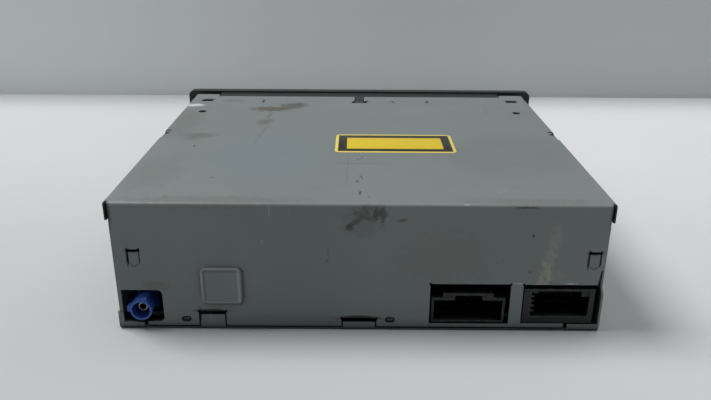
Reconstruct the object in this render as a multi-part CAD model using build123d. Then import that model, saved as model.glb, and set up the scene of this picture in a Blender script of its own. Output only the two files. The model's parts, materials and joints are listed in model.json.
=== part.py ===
from build123d import *
import os
from math import acos, asin, atan2, cos, degrees, hypot, pi, radians, sin, tan

# A one-slot-high car navigation computer with its own slot-loading DVD drive.
# Millimetres. While it is drawn, x runs across the case, y runs from the rear wall (0)
# to the front bezel, and z runs up from the underside of the tray (0).
# The last lines move everything so that the origin is under the middle of the whole unit.

# Case
WIDTH = 178.0               # over the cover's side flanges
CASE_HEIGHT = 50.0
CASE_DEPTH = 158.4          # rear face to the tips of the cover's front corners
SHEET = 0.8                 # coated steel sheet
BEND = 1.3                  # outside radius of a fold
FLANGE_DROP = 7.2           # height of the cover's side flanges
CORNER_TAB = 4.4            # how far the cover's front corners reach past its middle
CORNER_TAB_INNER = 76.0     # half distance between the two corners
SEAM = 0.2                  # gap between sheets that lie on each other
WALL_LIFT = 1.5             # the rear wall's lower edge above the table
REAR_RELIEF = 1.0           # gap beside the rear wall at the folded corners
TRAY_RIM_GAP = 0.8          # tray's side walls to the underside of the cover

# Rear wall: windows, folded lugs and pressed shapes
ANTENNA_WINDOW = (-86.0, -71.2, 3.0, 16.0)    # left, right, bottom, top
POWER_WINDOW = (25.6, 54.6, 2.8, 19.2)
SIGNAL_WINDOW_LEFT = 59.1
SIGNAL_WINDOW_BOTTOM = 3.1
SIGNAL_WINDOW_TOP = 19.1
WINDOW_CORNER = 1.8
EDGE_STEP_Z = 25.3          # the right edge of the rear wall steps in below this
EDGE_STEP = 1.0
LUG_GAP = 0.5               # slit beside a lug of the tray
WIDE_LUG = (0.0, 11.8, 3.3, 4.9)              # centre, width, top of the lug, top of its notch
TALL_LUG = (-53.5, 9.0, 6.1, 7.4)
CORNER_LUG_LEFT = -78.7     # the tray's left corner lug ends here
CORNER_LUG_RIGHT = 76.3
CORNER_LUG_SLIT = 1.4
CORNER_STRIP_TOP = 7.2      # the left corner lug runs this far up the edge
EMBOSS = (-49.3, 18.3, 15.3, 14.3)            # centre x, centre z, width, height
EMBOSS_HEIGHT = 1.0
EMBOSS_CORNER = 2.4
CATCH_X = (-80.0, 83.3)     # the two snap catches beside the rear wall
CATCH_Z = (25.5, 32.2)
CATCH_WIDTH = 4.1
CATCH_GAP = 0.35
CATCH_SLIT = 0.9            # height of the slit over a catch
CATCH_CORNER = 1.3
CATCH_STEP = 0.25           # the spring tongue of a catch lies this far behind the rear face
PEG_X = (-63.1, 11.3)       # two oval locating pegs low on the rear wall
PEG_Z = 4.2
PEG_HOLE = (3.5, 2.2)
PEG_GAP = 0.55
PEG_DEPTH = 0.5             # pegs behind the rear face
SLIT_EAR = (0.7, 0.45)      # square relief at both ends of a slit: width, height

# Top of the cover
ROUND_HOLE = (78.5, 122.0, 2.0)               # half spacing, y, radius
CORNER_SLOT = (80.3, 144.6, 5.8, 3.2)         # half spacing, y, length, width
SIDE_NOTCH_Y = (77.0, 89.0)
SIDE_NOTCH = 1.3
SIDE_NOTCH_RELIEF = (1.8, 1.6)                # depth and length of the slot at the notch's front end
LATCH_WIDTH = 4.4           # bezel tongue in the cover's front edge
LATCH_LENGTH = 13.0
LATCH_GAP = 0.5
LATCH_RELIEF = (1.5, 2.6)   # slots beside the tongue's end: width, length

# Tray sides and floor
TRAY_REAR_GAP = 2.4         # side walls stop this far from the rear face
SIDE_HOLE_Y = (38.0, 98.0)
SIDE_HOLE_Z = 24.0
SIDE_HOLE_RADIUS = 2.5
NUT_ACROSS = 4.6            # corner radius of the weld nut behind a side hole
NUT_DEPTH = 2.2
RIM_SETBACK = 4.0           # the tray's upper edge stands this much further back under the cover
BEAD = (62.0, 30.0, 128.0, 5.0, 0.5)          # half spacing, start y, end y, width, depth

# Bezel
BEZEL_WIDTH = 188.0
BEZEL_PROUD = 1.2           # above and below the case
BEZEL_BACK = 3.2            # back of the face plate past the cover's corners
BEZEL_PLATE = 6.2
BEZEL_SKIN = 2.6
BEZEL_CORNER = 3.0
BEZEL_EDGE = 1.4
BEZEL_WALL = 2.2
BEZEL_SIDE_GAP = 0.6        # bezel frame to tray side
FACE_RECESS = 0.7
FACE_RECESS_HEIGHT = 15.0
FACE_RECESS_MARGIN = 5.0
SLOT_WIDTH = 125.0
SLOT_HEIGHT = 5.6
SLOT_FLARE = 1.3
BUTTON_X = -76.0
BUTTON_SIZE = (14.6, 7.0)
BUTTON_GAP = 0.3
BUTTON_TRAVEL = 0.8
BUTTON_PROUD = 0.6
LAMP_DROP = 11.0            # indicator below the button
LAMP_RADIUS = 1.5
HOOK_Z = (12.0, 34.0)       # lower edges of the snap hooks on each side
HOOK_HEIGHT = 5.0
HOOK_LENGTH = 2.6
FELT = 0.6
FELT_DEPTH = 1.0

# Front plate behind the bezel
FRONT_PLATE_BACK = 9.0      # from the tips of the cover's corners
PLATE_EAR = 8.0
SLOT_ROOM = 1.6             # plate's slot is larger than the bezel's by this much all round

# Dust flap
FLAP_THICKNESS = 1.2
FLAP_SETBACK = 8.8          # from the back of the bezel's skin to the flap's axis
FLAP_LAP = 1.0              # flap past the slot at its lower edge and its ends
FLAP_AXIS_LIFT = 2.4        # axis above the slot
FLAP_PIN = 1.0

# Eject switch behind the button
SWITCH_HEIGHT = 2.8
SWITCH_FLOOR = 0.8
PLUNGER_LENGTH = 1.0
PLUNGER_RADIUS = 1.7
PLUNGER_GAP = 0.1

# Clearances, and sides of the pieces that are drawn with flat sides
RUNNING = 0.05              # radial clearance of a turning pin
FEW_SIDES = 6               # sides of small hidden round pieces
MORE_SIDES = 10
MANY_SIDES = 20

# Drive deck, measured down from the cover
DISC_RADIUS = 60.0
DISC_THICKNESS = 1.2
DISC_DEPTH = 17.0           # disc plane below the top of the case
DECK_DROP = 15.6            # disc plane to the underside of the deck
DECK_SIDE_ROOM = 9.4        # between deck and tray side
DECK_FRONT_GAP = 1.4
DECK_PAST_PIVOT = 6.0       # deck and guide reach this far behind the clamp's pivot
DECK_SHEET = 1.0
DECK_RIM = 4.0              # top of the deck's walls below the top of the case
GUIDE_RISE = 3.6            # disc guide above the disc plane
GUIDE_THICKNESS = 1.2
RAIL_GAP = 0.4              # disc to the guide's entry rails

# Suspension
POST_X = 72.0
POST_SETBACK = (8.0, 17.0)  # from the deck's rear and front ends
POST_RADIUS = 3.0
POST_TOP_GAP = 4.0          # post to the underside of the deck
DAMPER_RADIUS = 4.4
DAMPER_NECK = 2.6
DAMPER_CAP = 2.0
DAMPER_BORE = 1.5
SCREW_HEAD = 1.2

# Loading roller and its gears, all on axes across the case
ROLLER_SETBACK = 8.5        # roller axis behind the deck's front end
ROLLER_DROP = 5.6           # roller axis below the disc plane
ROLLER_END_RADIUS = 5.0
ROLLER_WAIST_RADIUS = 3.6
ROLLER_HALF = 66.0
ROLLER_COLLAR = 2.0         # half length of the collar between the two sleeves
SHAFT_RADIUS = 1.5
DISC_TO_ROLLER = 0.5        # seated disc's edge to the roller
BUSH_RADIUS = 3.2
BUSH_FLANGE = 4.2
BUSH_ROOM = 1.0             # thickness of a bush's flange
MODULE = 0.6
ROLLER_TEETH = 28
SMALL_TEETH = 12
LARGE_TEETH = 30
PINION_TEETH = 10
BACKLASH = 0.14
TOOTH_TIP = 0.78            # in modules
TOOTH_ROOT = 1.2
PRESSURE_ANGLE = 20.0
GEAR_WIDTH = 2.4
GEAR_GAP = 0.3
COMPOUND_DROP = 5.0         # compound gear below the roller's level, degrees
MOTOR_DROP = 7.5            # motor below the compound gear's level, degrees
AXLE_RADIUS = 1.0
MOTOR_RADIUS = 6.2
MOTOR_LENGTH = 18.0

# Play mechanism
TURNTABLE_RADIUS = 14.5
HUB_RADIUS = 7.4
HUB_RISE = 1.8
ROTOR_RADIUS = 12.5
ROTOR_WALL = 0.9
TRAVERSE_DROP = 11.4        # disc plane to the underside of the traverse plate
TRAVERSE_SHEET = 1.5
ROD_OFFSET = 19.0           # guide rods each side of the spindle
ROD_RADIUS = 1.5
ROD_DROP = 6.8
LENS_INNER = 24.0           # lens to spindle at the inner end of its travel
TRAVEL = 34.0
SLED_HALF = 10.0
LENS_RADIUS = 3.0
LENS_STROKE = 0.5
LENS_GAP = 1.8              # lens holder below the disc
LENS_DEPTH = 1.8            # lens holder in the pickup's bore
PICKUP_GAP = 4.0            # pickup below the disc
SCREW_OFFSET = 5.0          # lead screw outside the rod
LEAD_RADIUS = 1.4
SLED_MOTOR_RADIUS = 4.5
SLED_MOTOR_LENGTH = 12.0

# Clamp
CLAMP_REACH = 52.0          # pivot to spindle
CLAMP_LIFT = 3.9
CLAMP_LEVEL = 8.0           # underside of the arm above the disc plane when clamped
PIVOT_RISE = 2.1            # pivot above the disc guide
PIVOT_HEAD = 1.8
ARM_HALF = 11.0
ARM_SHEET = 1.0
EAR_X = 27.0                # arm's pivot ears
CLAMPER_RADIUS = 15.0
NECK_RADIUS = 4.0
DRIVE_REACH = 40.0          # pivot to the pin that the slider moves
DRIVE_PIN = 1.2
MODE_STROKE = 8.0
MODE_SHEET = 1.0
SLIDER_REAR = 40.0
SLIDER_LENGTH = 78.0
SLIDER_DROP = 2.5           # slider's bar below the disc plane
SLIDER_HEIGHT = 6.0
STUD_Y = (46.0, 84.0)
STUD_RADIUS = 1.5
SLIDING = 0.3               # clearance of sliding pieces
MODE_MOTOR_Y = 100.0

# Disc sensing levers
LEVER_X = 58.0
LEVER_SETBACK = 17.5        # lever pivot behind the roller's axis
LEVER_REACH = 14.0          # pin from the pivot, inward and forward
LEVER_SWING = 55.0
LEVER_PIN = 1.2
LEVER_POST = 2.0
LEVER_WINDOW_STEPS = 4

# Boards
BOARD_LIFT = 2.6
BOARD = 1.6
BOARD_HALF = 85.0
BOARD_REAR = 5.0
BOARD_FRONT = 142.0
BOARD_SCREWS = ((-62.0, 10.0), (52.0, 40.0), (-80.0, 78.0), (80.0, 78.0), (-50.0, 136.0), (50.0, 136.0))
STANDOFF_RADIUS = 3.2
BOARD_SCREW = 1.2
BOARD_SCREW_HEAD = 2.6
SCREW_HEAD_HEIGHT = 1.4
HEADROOM = 3.2              # tallest part on the board to the underside of the deck
PROCESSOR = (30.0, 74.0, 27.0, 2.0)           # x, y, side, height
SPREADER = (32.0, 5.6, 1.4, 2.0)              # side, height, base, thickness of a fin
SPREADER_FINS = 6
MEMORY_GAP = (11.0, 8.0)    # processor to the first memory chip, and half the spacing of the two rows
MEMORY_PITCH = 15.0
MEMORY_CHIP = (12.0, 10.0, 1.2)
SMALL_CAPACITORS = ((54.0, 28.0, 3.2), (64.0, 28.0, 3.2))           # x, y, radius
LARGE_CAPACITORS = ((34.0, 26.0, 4.0), (44.0, 26.0, 4.0), (30.0, 38.0, 5.0))
COIL = (68.0, 44.0, 12.0, 3.0, 5.0)           # x, y, side and height of the base, radius of the pot
COIL_HEIGHT = 7.0
RECEIVER = (-62.0, 42.0, 30.0, 24.0, 5.0)     # x, y, width, depth, height
TURN_SENSOR = (-30.0, 40.0, 12.0, 10.0, 6.0)
FRONT_SOCKET = (-52.0, 120.5, 24.0, 5.0, 5.0)
RIBBON_SOCKET = (6.0, 16.0, 4.2)              # width, depth, height

# Ribbon to the pickup
RIBBON_WIDTH = 12.0
RIBBON_SHEET = 0.2

# Rear sockets
SOCKET_SETBACK = 0.5
SOCKET_DEPTH = 12.0
SOCKET_FLOOR = 0.8          # thickness of a socket's floor
SOCKET_BACKING = 3.0        # thickness of a socket's back
SKIRT_Z = 3.2               # the housings' front parts hang this low behind the board's edge
PIN_THICKNESS = 0.6
PIN_LENGTH = 3.0            # pins standing in the cavity
PIN_BEHIND = 1.0            # housing's back to the first row of legs
PIN_ROW_STEP = 1.6
POWER_SOCKET = (26.3, 53.0, 13.4)             # left, right, top
POWER_HOOD = (30.4, 48.7, 15.2)               # left, right, top of its raised hood
POWER_CAVITY = (27.2, 52.1, 12.3)             # left, right, top
LATCH_SLOT = (34.8, 44.7, 14.2)               # left, right, top of the slot under the hood
POWER_PINS = (30.2, 2.2, (6.6, 9.4))          # first pin, spacing, heights of the rows
POWER_PIN_COUNT = 10
SIGNAL_SOCKET = (59.6, 85.2, 17.2)
SIGNAL_CAVITY = (62.4, 83.4, 16.3)
SIGNAL_FLOOR = 6.0
SIGNAL_RIBS = (7.6, 9.6, 11.6, 13.6)          # comb ribs at the left of the cavity
RIB = (1.2, 0.8)                              # length and thickness of a rib
SIGNAL_KEYS = ((62.4, 65.0, 15.2), (80.8, 83.4, 13.8))    # left, right, bottom of the two corner keys
SIGNAL_PINS = (66.0, 1.4, (8.6, 12.4))
SIGNAL_PIN_COUNT = 10
ANTENNA_AXIS = (-79.1, 8.4)
ANTENNA_RADIUS = 4.0
ANTENNA_PROUD = 1.5
ANTENNA_LENGTH = 15.0
ANTENNA_WALL = 0.8
ANTENNA_FOOT = (3.9, 8.5)   # half width and start of the block that stands on the board
SHIELD_RADIUS = 1.7
SHIELD_START = 1.5

# Worked-out places
HALF = WIDTH / 2
SIDE = HALF - SHEET                         # outside of the tray's side walls
INNER = SIDE - SHEET                        # inside of the tray's side walls
ROOF = CASE_HEIGHT - SHEET                  # underside of the cover
WALL_HALF = SIDE - REAR_RELIEF              # rear wall
COVER_FRONT = CASE_DEPTH - CORNER_TAB
PLATE_Y = CASE_DEPTH - FRONT_PLATE_BACK     # back face of the front plate
PLATE_FRONT = PLATE_Y + SHEET
FACE_BACK = CASE_DEPTH + BEZEL_BACK
FACE_FRONT = FACE_BACK + BEZEL_PLATE
SKIN_BACK = FACE_FRONT - BEZEL_SKIN
FRAME_HALF = INNER - BEZEL_SIDE_GAP
FRAME_INNER = FRAME_HALF - BEZEL_WALL
DISC_Z = CASE_HEIGHT - DISC_DEPTH           # middle of the disc
DISC_UNDER = DISC_Z - DISC_THICKNESS / 2
DISC_TOP = DISC_Z + DISC_THICKNESS / 2
SLOT_LOW = DISC_Z - SLOT_HEIGHT / 2
SLOT_HIGH = DISC_Z + SLOT_HEIGHT / 2
FLAP_Y = SKIN_BACK - FLAP_SETBACK
FLAP_Z = SLOT_HIGH + FLAP_AXIS_LIFT
DECK_Z = DISC_Z - DECK_DROP
DECK_TOP = DECK_Z + DECK_SHEET
DECK_HALF = INNER - DECK_SIDE_ROOM          # outside of the deck's side walls
DECK_INNER = DECK_HALF - DECK_SHEET
DECK_FRONT = PLATE_Y - DECK_FRONT_GAP
DECK_WALL_TOP = CASE_HEIGHT - DECK_RIM
GUIDE_Z = DISC_Z + GUIDE_RISE
GUIDE_TOP = GUIDE_Z + GUIDE_THICKNESS
ROLLER_Y = DECK_FRONT - ROLLER_SETBACK
ROLLER_Z = DISC_Z - ROLLER_DROP
SPINDLE_Y = ROLLER_Y - DISC_RADIUS - ROLLER_END_RADIUS - DISC_TO_ROLLER
TRAVERSE_Z = DISC_Z - TRAVERSE_DROP
TRAVERSE_TOP = TRAVERSE_Z + TRAVERSE_SHEET
ROD_Z = DISC_Z - ROD_DROP
LEAD_Y = SPINDLE_Y + ROD_OFFSET + SCREW_OFFSET
BOARD_TOP = BOARD_LIFT + BOARD
SOCKET_BACK = SOCKET_SETBACK + SOCKET_DEPTH
ARM_Z = DISC_Z + CLAMP_LEVEL
ARM_TOP = ARM_Z + ARM_SHEET
PIVOT_Y = SPINDLE_Y - CLAMP_REACH
PIVOT_Z = GUIDE_TOP + PIVOT_RISE
DECK_REAR = PIVOT_Y - DECK_PAST_PIVOT
POST_Y = (DECK_REAR + POST_SETBACK[0], DECK_FRONT - POST_SETBACK[1])
CLAMP_ANGLE = degrees(asin(CLAMP_LIFT / CLAMP_REACH))
DRIVE_Y = PIVOT_Y + DRIVE_REACH
DRIVE_LIFT = CLAMP_LIFT * DRIVE_REACH / CLAMP_REACH
DRIVE_LOW = (ARM_Z + ARM_TOP) / 2
DRIVE_HIGH = DRIVE_LOW + DRIVE_LIFT
SLIDER_X = DECK_HALF + SLIDING
SLIDER_Z = DISC_Z - SLIDER_DROP             # lower edge of the slider's bar
RACK_Z = SLIDER_Z - MODULE * 1.5            # pitch line of the slider's rack
MODE_PINION_RADIUS = MODULE * SMALL_TEETH / 2
MODE_PINION_Z = RACK_Z - MODE_PINION_RADIUS
LEVER_Y = ROLLER_Y - LEVER_SETBACK
LEVER_LENGTH = hypot(LEVER_REACH, LEVER_REACH)
FLAP_BOSS_X = SLOT_WIDTH / 2 + FLAP_LAP + 0.7
SWITCH_BOARD_BACK = SKIN_BACK - 9.0
SWITCH_BOARD_FRONT = SWITCH_BOARD_BACK + 1.2
SWITCH_POSTS = ((BUTTON_X, DISC_Z - 19.0), (BUTTON_X, DISC_Z + 8.5))
RIBBON_START = (-6.0, BOARD_TOP + 2.8)      # x and z where it leaves its socket
TRAVERSE_LEFT = -(LENS_INNER + TRAVEL + SLED_HALF + 5.0)
TRAVERSE_RIGHT = 20.0
TRAVERSE_REAR = SPINDLE_Y - 26.0
TRAVERSE_FRONT = SPINDLE_Y + 30.0
ROD_LEFT = TRAVERSE_LEFT + 1.5
ROD_RIGHT = -6.0

# Gear places: the roller gear and the small wheel lie in one plane, the large wheel outside them
GEAR_X = -(DECK_HALF + 1.0)                 # inner face of the roller gear
OUTER_GEAR_X = GEAR_X - GEAR_WIDTH - GEAR_GAP
COMPOUND_REACH = MODULE * (ROLLER_TEETH + SMALL_TEETH) / 2
PINION_REACH = MODULE * (LARGE_TEETH + PINION_TEETH) / 2
COMPOUND_Y = ROLLER_Y - COMPOUND_REACH * cos(radians(COMPOUND_DROP))
COMPOUND_Z = ROLLER_Z - COMPOUND_REACH * sin(radians(COMPOUND_DROP))
MOTOR_Y = COMPOUND_Y - PINION_REACH * cos(radians(MOTOR_DROP))
MOTOR_Z = COMPOUND_Z - PINION_REACH * sin(radians(MOTOR_DROP))


def block(x0, x1, y0, y1, z0, z1):
    return Pos((x0 + x1) / 2, (y0 + y1) / 2, (z0 + z1) / 2) * Box(x1 - x0, y1 - y0, z1 - z0)


def rod_x(x0, x1, y, z, radius):
    return Pos((x0 + x1) / 2, y, z) * Rot(0, 90, 0) * Cylinder(radius, x1 - x0)


def rod_y(y0, y1, x, z, radius):
    return Pos(x, (y0 + y1) / 2, z) * Rot(90, 0, 0) * Cylinder(radius, y1 - y0)


def rod_z(z0, z1, x, y, radius):
    return Pos(x, y, (z0 + z1) / 2) * Cylinder(radius, z1 - z0)


def flat_sided(radius, sides):
    """Plan of a small hidden round piece, drawn with flat sides."""
    return RegularPolygon(radius, sides)


def post_x(x0, x1, y, z, radius, sides=FEW_SIDES):
    return facing_x(Pos(y, z) * flat_sided(radius, sides), x0, x1)


def post_y(y0, y1, x, z, radius, sides=FEW_SIDES):
    return facing_y(Pos(x, z) * flat_sided(radius, sides), y0, y1)


def post_z(z0, z1, x, y, radius, sides=FEW_SIDES):
    return extrude(Plane.XY.offset(z0) * Pos(x, y) * flat_sided(radius, sides), amount=z1 - z0)


def around(radius, sides, clearance=RUNNING):
    """Corner radius of a flat-sided hole round a pin of the given radius."""
    return (radius + clearance) / cos(pi / sides)


def facing_y(sketch, y0, y1):
    """A sketch in x and z, made solid from y0 to y1."""
    return extrude(Plane.XZ.offset(-y1) * sketch, amount=y1 - y0)


def facing_x(sketch, x0, x1):
    """A sketch in y and z, made solid from x0 to x1."""
    return extrude(Plane.YZ.offset(x0) * sketch, amount=x1 - x0)


def outline(*points):
    return make_face(Polyline(*points, close=True))


def group(pieces):
    return Compound(children=list(pieces))


def round_at(sketch, radius, *points):
    """Round the corners of a sketch that lie at the given points."""
    near = [v for v in sketch.vertices() if any(hypot(v.X - x, v.Y - y) < 0.01 for x, y in points)]
    return fillet(near, radius)


def folded(half, tip, base):
    """Section of a sheet with both sides folded: the sides end at tip, the web's outside is at base."""
    low, high = min(tip, base), max(tip, base)
    outer = Pos(0, (low + high) / 2) * Rectangle(2 * half, high - low)
    outer = round_at(outer, BEND, (half, base), (-half, base))
    inside = base + SHEET if tip > base else base - SHEET
    clear = half - SHEET
    inner = Pos(0, (tip + inside) / 2) * Rectangle(2 * clear, abs(tip - inside))
    inner = round_at(inner, BEND - SHEET, (clear, inside), (-clear, inside))
    return outer - inner


def angle(y_wall, tip, base, reach):
    """Section in y and z of a sheet folded at the rear: wall from tip to base, then forward by reach."""
    low, high = min(tip, base), max(tip, base)
    outer = Pos(y_wall + reach / 2, (low + high) / 2) * Rectangle(reach, high - low)
    outer = round_at(outer, BEND, (y_wall, base))
    inside = base + SHEET if tip > base else base - SHEET
    return outer - Pos(y_wall + SHEET + reach / 2, (tip + inside) / 2) * Rectangle(reach, abs(tip - inside))


def oval(x, z, width, height, margin=0.0):
    """A small oblong with cut corners."""
    shape = Rectangle(width + 2 * margin, height + 2 * margin)
    return Pos(x, z) * chamfer(shape.vertices(), (height + 2 * margin) * 0.3)


def catch_shape(x):
    """A shield shape, seen from the rear: flat top, cut lower corners."""
    half = CATCH_WIDTH / 2
    low, high = CATCH_Z
    cut = CATCH_CORNER
    return outline((x - half, high), (x - half, low + cut), (x - half + cut, low),
                   (x + half - cut, low), (x + half, low + cut), (x + half, high))


def ears(left, right, top):
    """Square reliefs at both ends of a slit, as plans to be cut through the rear wall."""
    width, height = SLIT_EAR
    return [outline((x - width / 2, top - height), (x + width / 2, top - height),
                    (x + width / 2, top + height), (x - width / 2, top + height)) for x in (left, right)]


def top_cover():
    wall = facing_x(angle(0, WALL_LIFT, CASE_HEIGHT, 2 * BEND), -WALL_HALF, WALL_HALF)
    body = facing_y(folded(HALF, CASE_HEIGHT - FLANGE_DROP, CASE_HEIGHT), BEND, CASE_DEPTH) + wall
    through = (-1.0, 2.0)
    cuts = [block(-CORNER_TAB_INNER, CORNER_TAB_INNER, COVER_FRONT, CASE_DEPTH + 1, ROOF - 1, CASE_HEIGHT + 1)]
    left, right, low, high = ANTENNA_WINDOW
    window = Pos((left + right) / 2, (low + high) / 2) * Rectangle(right - left, high - low)
    window = round_at(window, WINDOW_CORNER, (right, low), (right, high))
    cuts.append(facing_y(window, *through))
    cuts.append(block(-HALF, CORNER_LUG_LEFT + CORNER_LUG_SLIT, *through, 0, low + 0.1))
    cuts.append(block(-HALF, left + 0.1, *through, 0, CORNER_STRIP_TOP + SEAM))
    left, right, low, high = POWER_WINDOW
    cuts.append(block(left, right, *through, low, high))
    slits = ears(left, right, high)
    low, high = SIGNAL_WINDOW_BOTTOM, SIGNAL_WINDOW_TOP
    cuts.append(block(SIGNAL_WINDOW_LEFT, HALF, *through, low, high))
    cuts.append(block(CORNER_LUG_RIGHT - CORNER_LUG_SLIT, HALF, *through, 0, low + 0.1))
    slits += ears(SIGNAL_WINDOW_LEFT, SIGNAL_WINDOW_LEFT, high)[:1]
    slits.append(outline((WALL_HALF + 1, EDGE_STEP_Z), (WALL_HALF - EDGE_STEP, EDGE_STEP_Z - 0.4),
                         (WALL_HALF - EDGE_STEP - 0.8, high - 1), (WALL_HALF + 1, high - 1)))
    for centre, width, _, top in (WIDE_LUG, TALL_LUG):
        edge = width / 2 + LUG_GAP
        cuts.append(block(centre - edge, centre + edge, *through, 0, top))
        slits += ears(centre - edge, centre + edge, top)
    slits += [oval(x, PEG_Z, *PEG_HOLE) for x in PEG_X]
    for x in CATCH_X:
        cuts.append(facing_y(catch_shape(x), -1, CATCH_STEP))
        edge = CATCH_WIDTH / 2
        low, high = CATCH_Z[0] + CATCH_CORNER, CATCH_Z[1]
        cuts.append(block(x - edge, x + edge, *through, high - CATCH_SLIT, high))
        cuts += [block(x + s * edge - CATCH_GAP / 2, x + s * edge + CATCH_GAP / 2, *through, low, high) for s in (-1, 1)]
        slits += ears(x - edge, x + edge, high)
    cuts += [facing_y(plan, *through) for plan in slits]
    over = (ROOF - 1, CASE_HEIGHT + 1)
    x, y, radius = ROUND_HOLE
    cuts += [rod_z(*over, s * x, y, radius) for s in (-1, 1)]
    x, y, length, width = CORNER_SLOT
    cuts += [block(s * x - length / 2, s * x + length / 2, y - width / 2, y + width / 2, *over) for s in (-1, 1)]
    depth, length = SIDE_NOTCH_RELIEF
    start, end = SIDE_NOTCH_Y
    for s in (-1, 1):
        cuts.append(block(*sorted((s * (HALF + 1), s * (HALF - SIDE_NOTCH))), start, end, CASE_HEIGHT - 4.2, over[1]))
        cuts.append(block(*sorted((s * (HALF + 1), s * (HALF - SIDE_NOTCH - depth))), end - length, end,
                          CASE_HEIGHT - 4.2, over[1]))
    notch = LATCH_WIDTH / 2 + LATCH_GAP / 2
    cuts.append(block(-notch, notch, COVER_FRONT - LATCH_LENGTH - LATCH_GAP, CASE_DEPTH, *over))
    width, length = LATCH_RELIEF
    start = COVER_FRONT - LATCH_LENGTH - LATCH_GAP
    cuts.append(block(-notch - width, notch + width, start, start + length, *over))
    body -= cuts
    x, z, width, height = EMBOSS
    raised = Pos(x, z) * RectangleRounded(width, height, EMBOSS_CORNER)
    pocket = Pos(x, z) * Rectangle(width - 2 * EMBOSS_CORNER, height - 2 * EMBOSS_CORNER)
    emboss = facing_y(raised, -EMBOSS_HEIGHT, 0.1)
    emboss = chamfer(emboss.faces().sort_by(Axis.Y)[0].edges(), 0.5)
    return body + emboss - facing_y(pocket, -EMBOSS_HEIGHT + 0.7, 1)


def lower_tray():
    top = ROOF - TRAY_RIM_GAP
    body = facing_y(folded(SIDE, top, 0), TRAY_REAR_GAP, CASE_DEPTH)
    body += block(-SIDE + BEND + 1, SIDE - BEND - 1, 0.3, TRAY_REAR_GAP + 1, 0, SHEET)
    lugs = [(centre - width / 2, centre + width / 2, high) for centre, width, high, _ in (WIDE_LUG, TALL_LUG)]
    lugs.append((-SIDE + 0.2, CORNER_LUG_LEFT, ANTENNA_WINDOW[2] - 0.3))
    lugs.append((CORNER_LUG_RIGHT, SIDE - 0.2, SIGNAL_WINDOW_BOTTOM - 0.3))
    for x0, x1, high in lugs:
        body += facing_x(angle(0, high, 0, 4.0), x0, x1)
    body += block(-SIDE + 0.2, ANTENNA_WINDOW[0], 0, SHEET, 2, CORNER_STRIP_TOP)
    rim = SIGNAL_WINDOW_TOP - 2.4
    body += facing_x(outline((0.2, 2), (0.2, rim - 1.5), (1.7, rim), (TRAY_REAR_GAP + 1, rim),
                             (TRAY_REAR_GAP + 1, 2)), INNER, SIDE)
    rear = TRAY_REAR_GAP + RIM_SETBACK
    body -= [block(*sorted((s * (INNER - 1), s * HALF)), 0, rear, CASE_HEIGHT - FLANGE_DROP - 2, CASE_HEIGHT)
             for s in (-1, 1)]
    for x in PEG_X:
        behind = SHEET + SEAM
        body += facing_x(angle(behind, PEG_Z + 4, 0, 3.0), x - 4.2, x + 4.2)
        body += facing_y(oval(x, PEG_Z, *PEG_HOLE, -PEG_GAP), PEG_DEPTH, behind + 0.1)
    body += [post_z(SHEET - 0.1, BOARD_LIFT, x, y, STANDOFF_RADIUS) for x, y in BOARD_SCREWS]
    half, start, end, width, depth = BEAD
    for s in (-1, 1):
        body += block(s * half - width / 2, s * half + width / 2, start, end, SHEET - 0.1, SHEET + depth)
        body -= block(s * half - width / 2 + SHEET, s * half + width / 2 - SHEET, start + SHEET, end - SHEET, -1, depth)
        for y in SIDE_HOLE_Y:
            x0, x1 = sorted((s * (INNER + 0.1), s * (INNER - NUT_DEPTH)))
            body += post_x(x0, x1, y, SIDE_HOLE_Z, NUT_ACROSS, 6)
            body -= rod_x(-1 + x0, x1 + 2, y, SIDE_HOLE_Z, SIDE_HOLE_RADIUS)
        for z in HOOK_Z:
            x0, x1 = sorted((s * (INNER - 1), s * HALF))
            body -= block(x0, x1, FACE_BACK - HOOK_LENGTH - 4.2, FACE_BACK - 3.6, z - 0.4, z + HOOK_HEIGHT + 0.4)
    body -= [post_z(-1, BOARD_LIFT + 1, x, y, around(BOARD_SCREW, FEW_SIDES)) for x, y in BOARD_SCREWS]
    return body - block(-CORNER_TAB_INNER, CORNER_TAB_INNER, COVER_FRONT, CASE_DEPTH + 1, -1, SHEET + 1)


def front_plate():
    half = INNER
    low = BOARD_LIFT
    body = block(-half, half, PLATE_Y, PLATE_FRONT, BEND, ROOF)
    for s in (-1, 1):
        x0, x1 = sorted((s * half, s * (half - SHEET)))
        body += block(x0, x1, PLATE_Y - PLATE_EAR, PLATE_Y, low + 4, ROOF - 6)
    room = SLOT_ROOM
    body -= block(-SLOT_WIDTH / 2 - room, SLOT_WIDTH / 2 + room, PLATE_Y - 1, PLATE_FRONT + 1,
                  SLOT_LOW - room, FLAP_Z + FLAP_PIN)
    body -= block(-LATCH_WIDTH, LATCH_WIDTH, PLATE_Y - 1, PLATE_FRONT + 1, ROOF - 2, ROOF + 1)
    return body - block(BUTTON_X - 5, BUTTON_X + 5, PLATE_Y - 1, PLATE_FRONT + 1, 8, 14)


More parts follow.
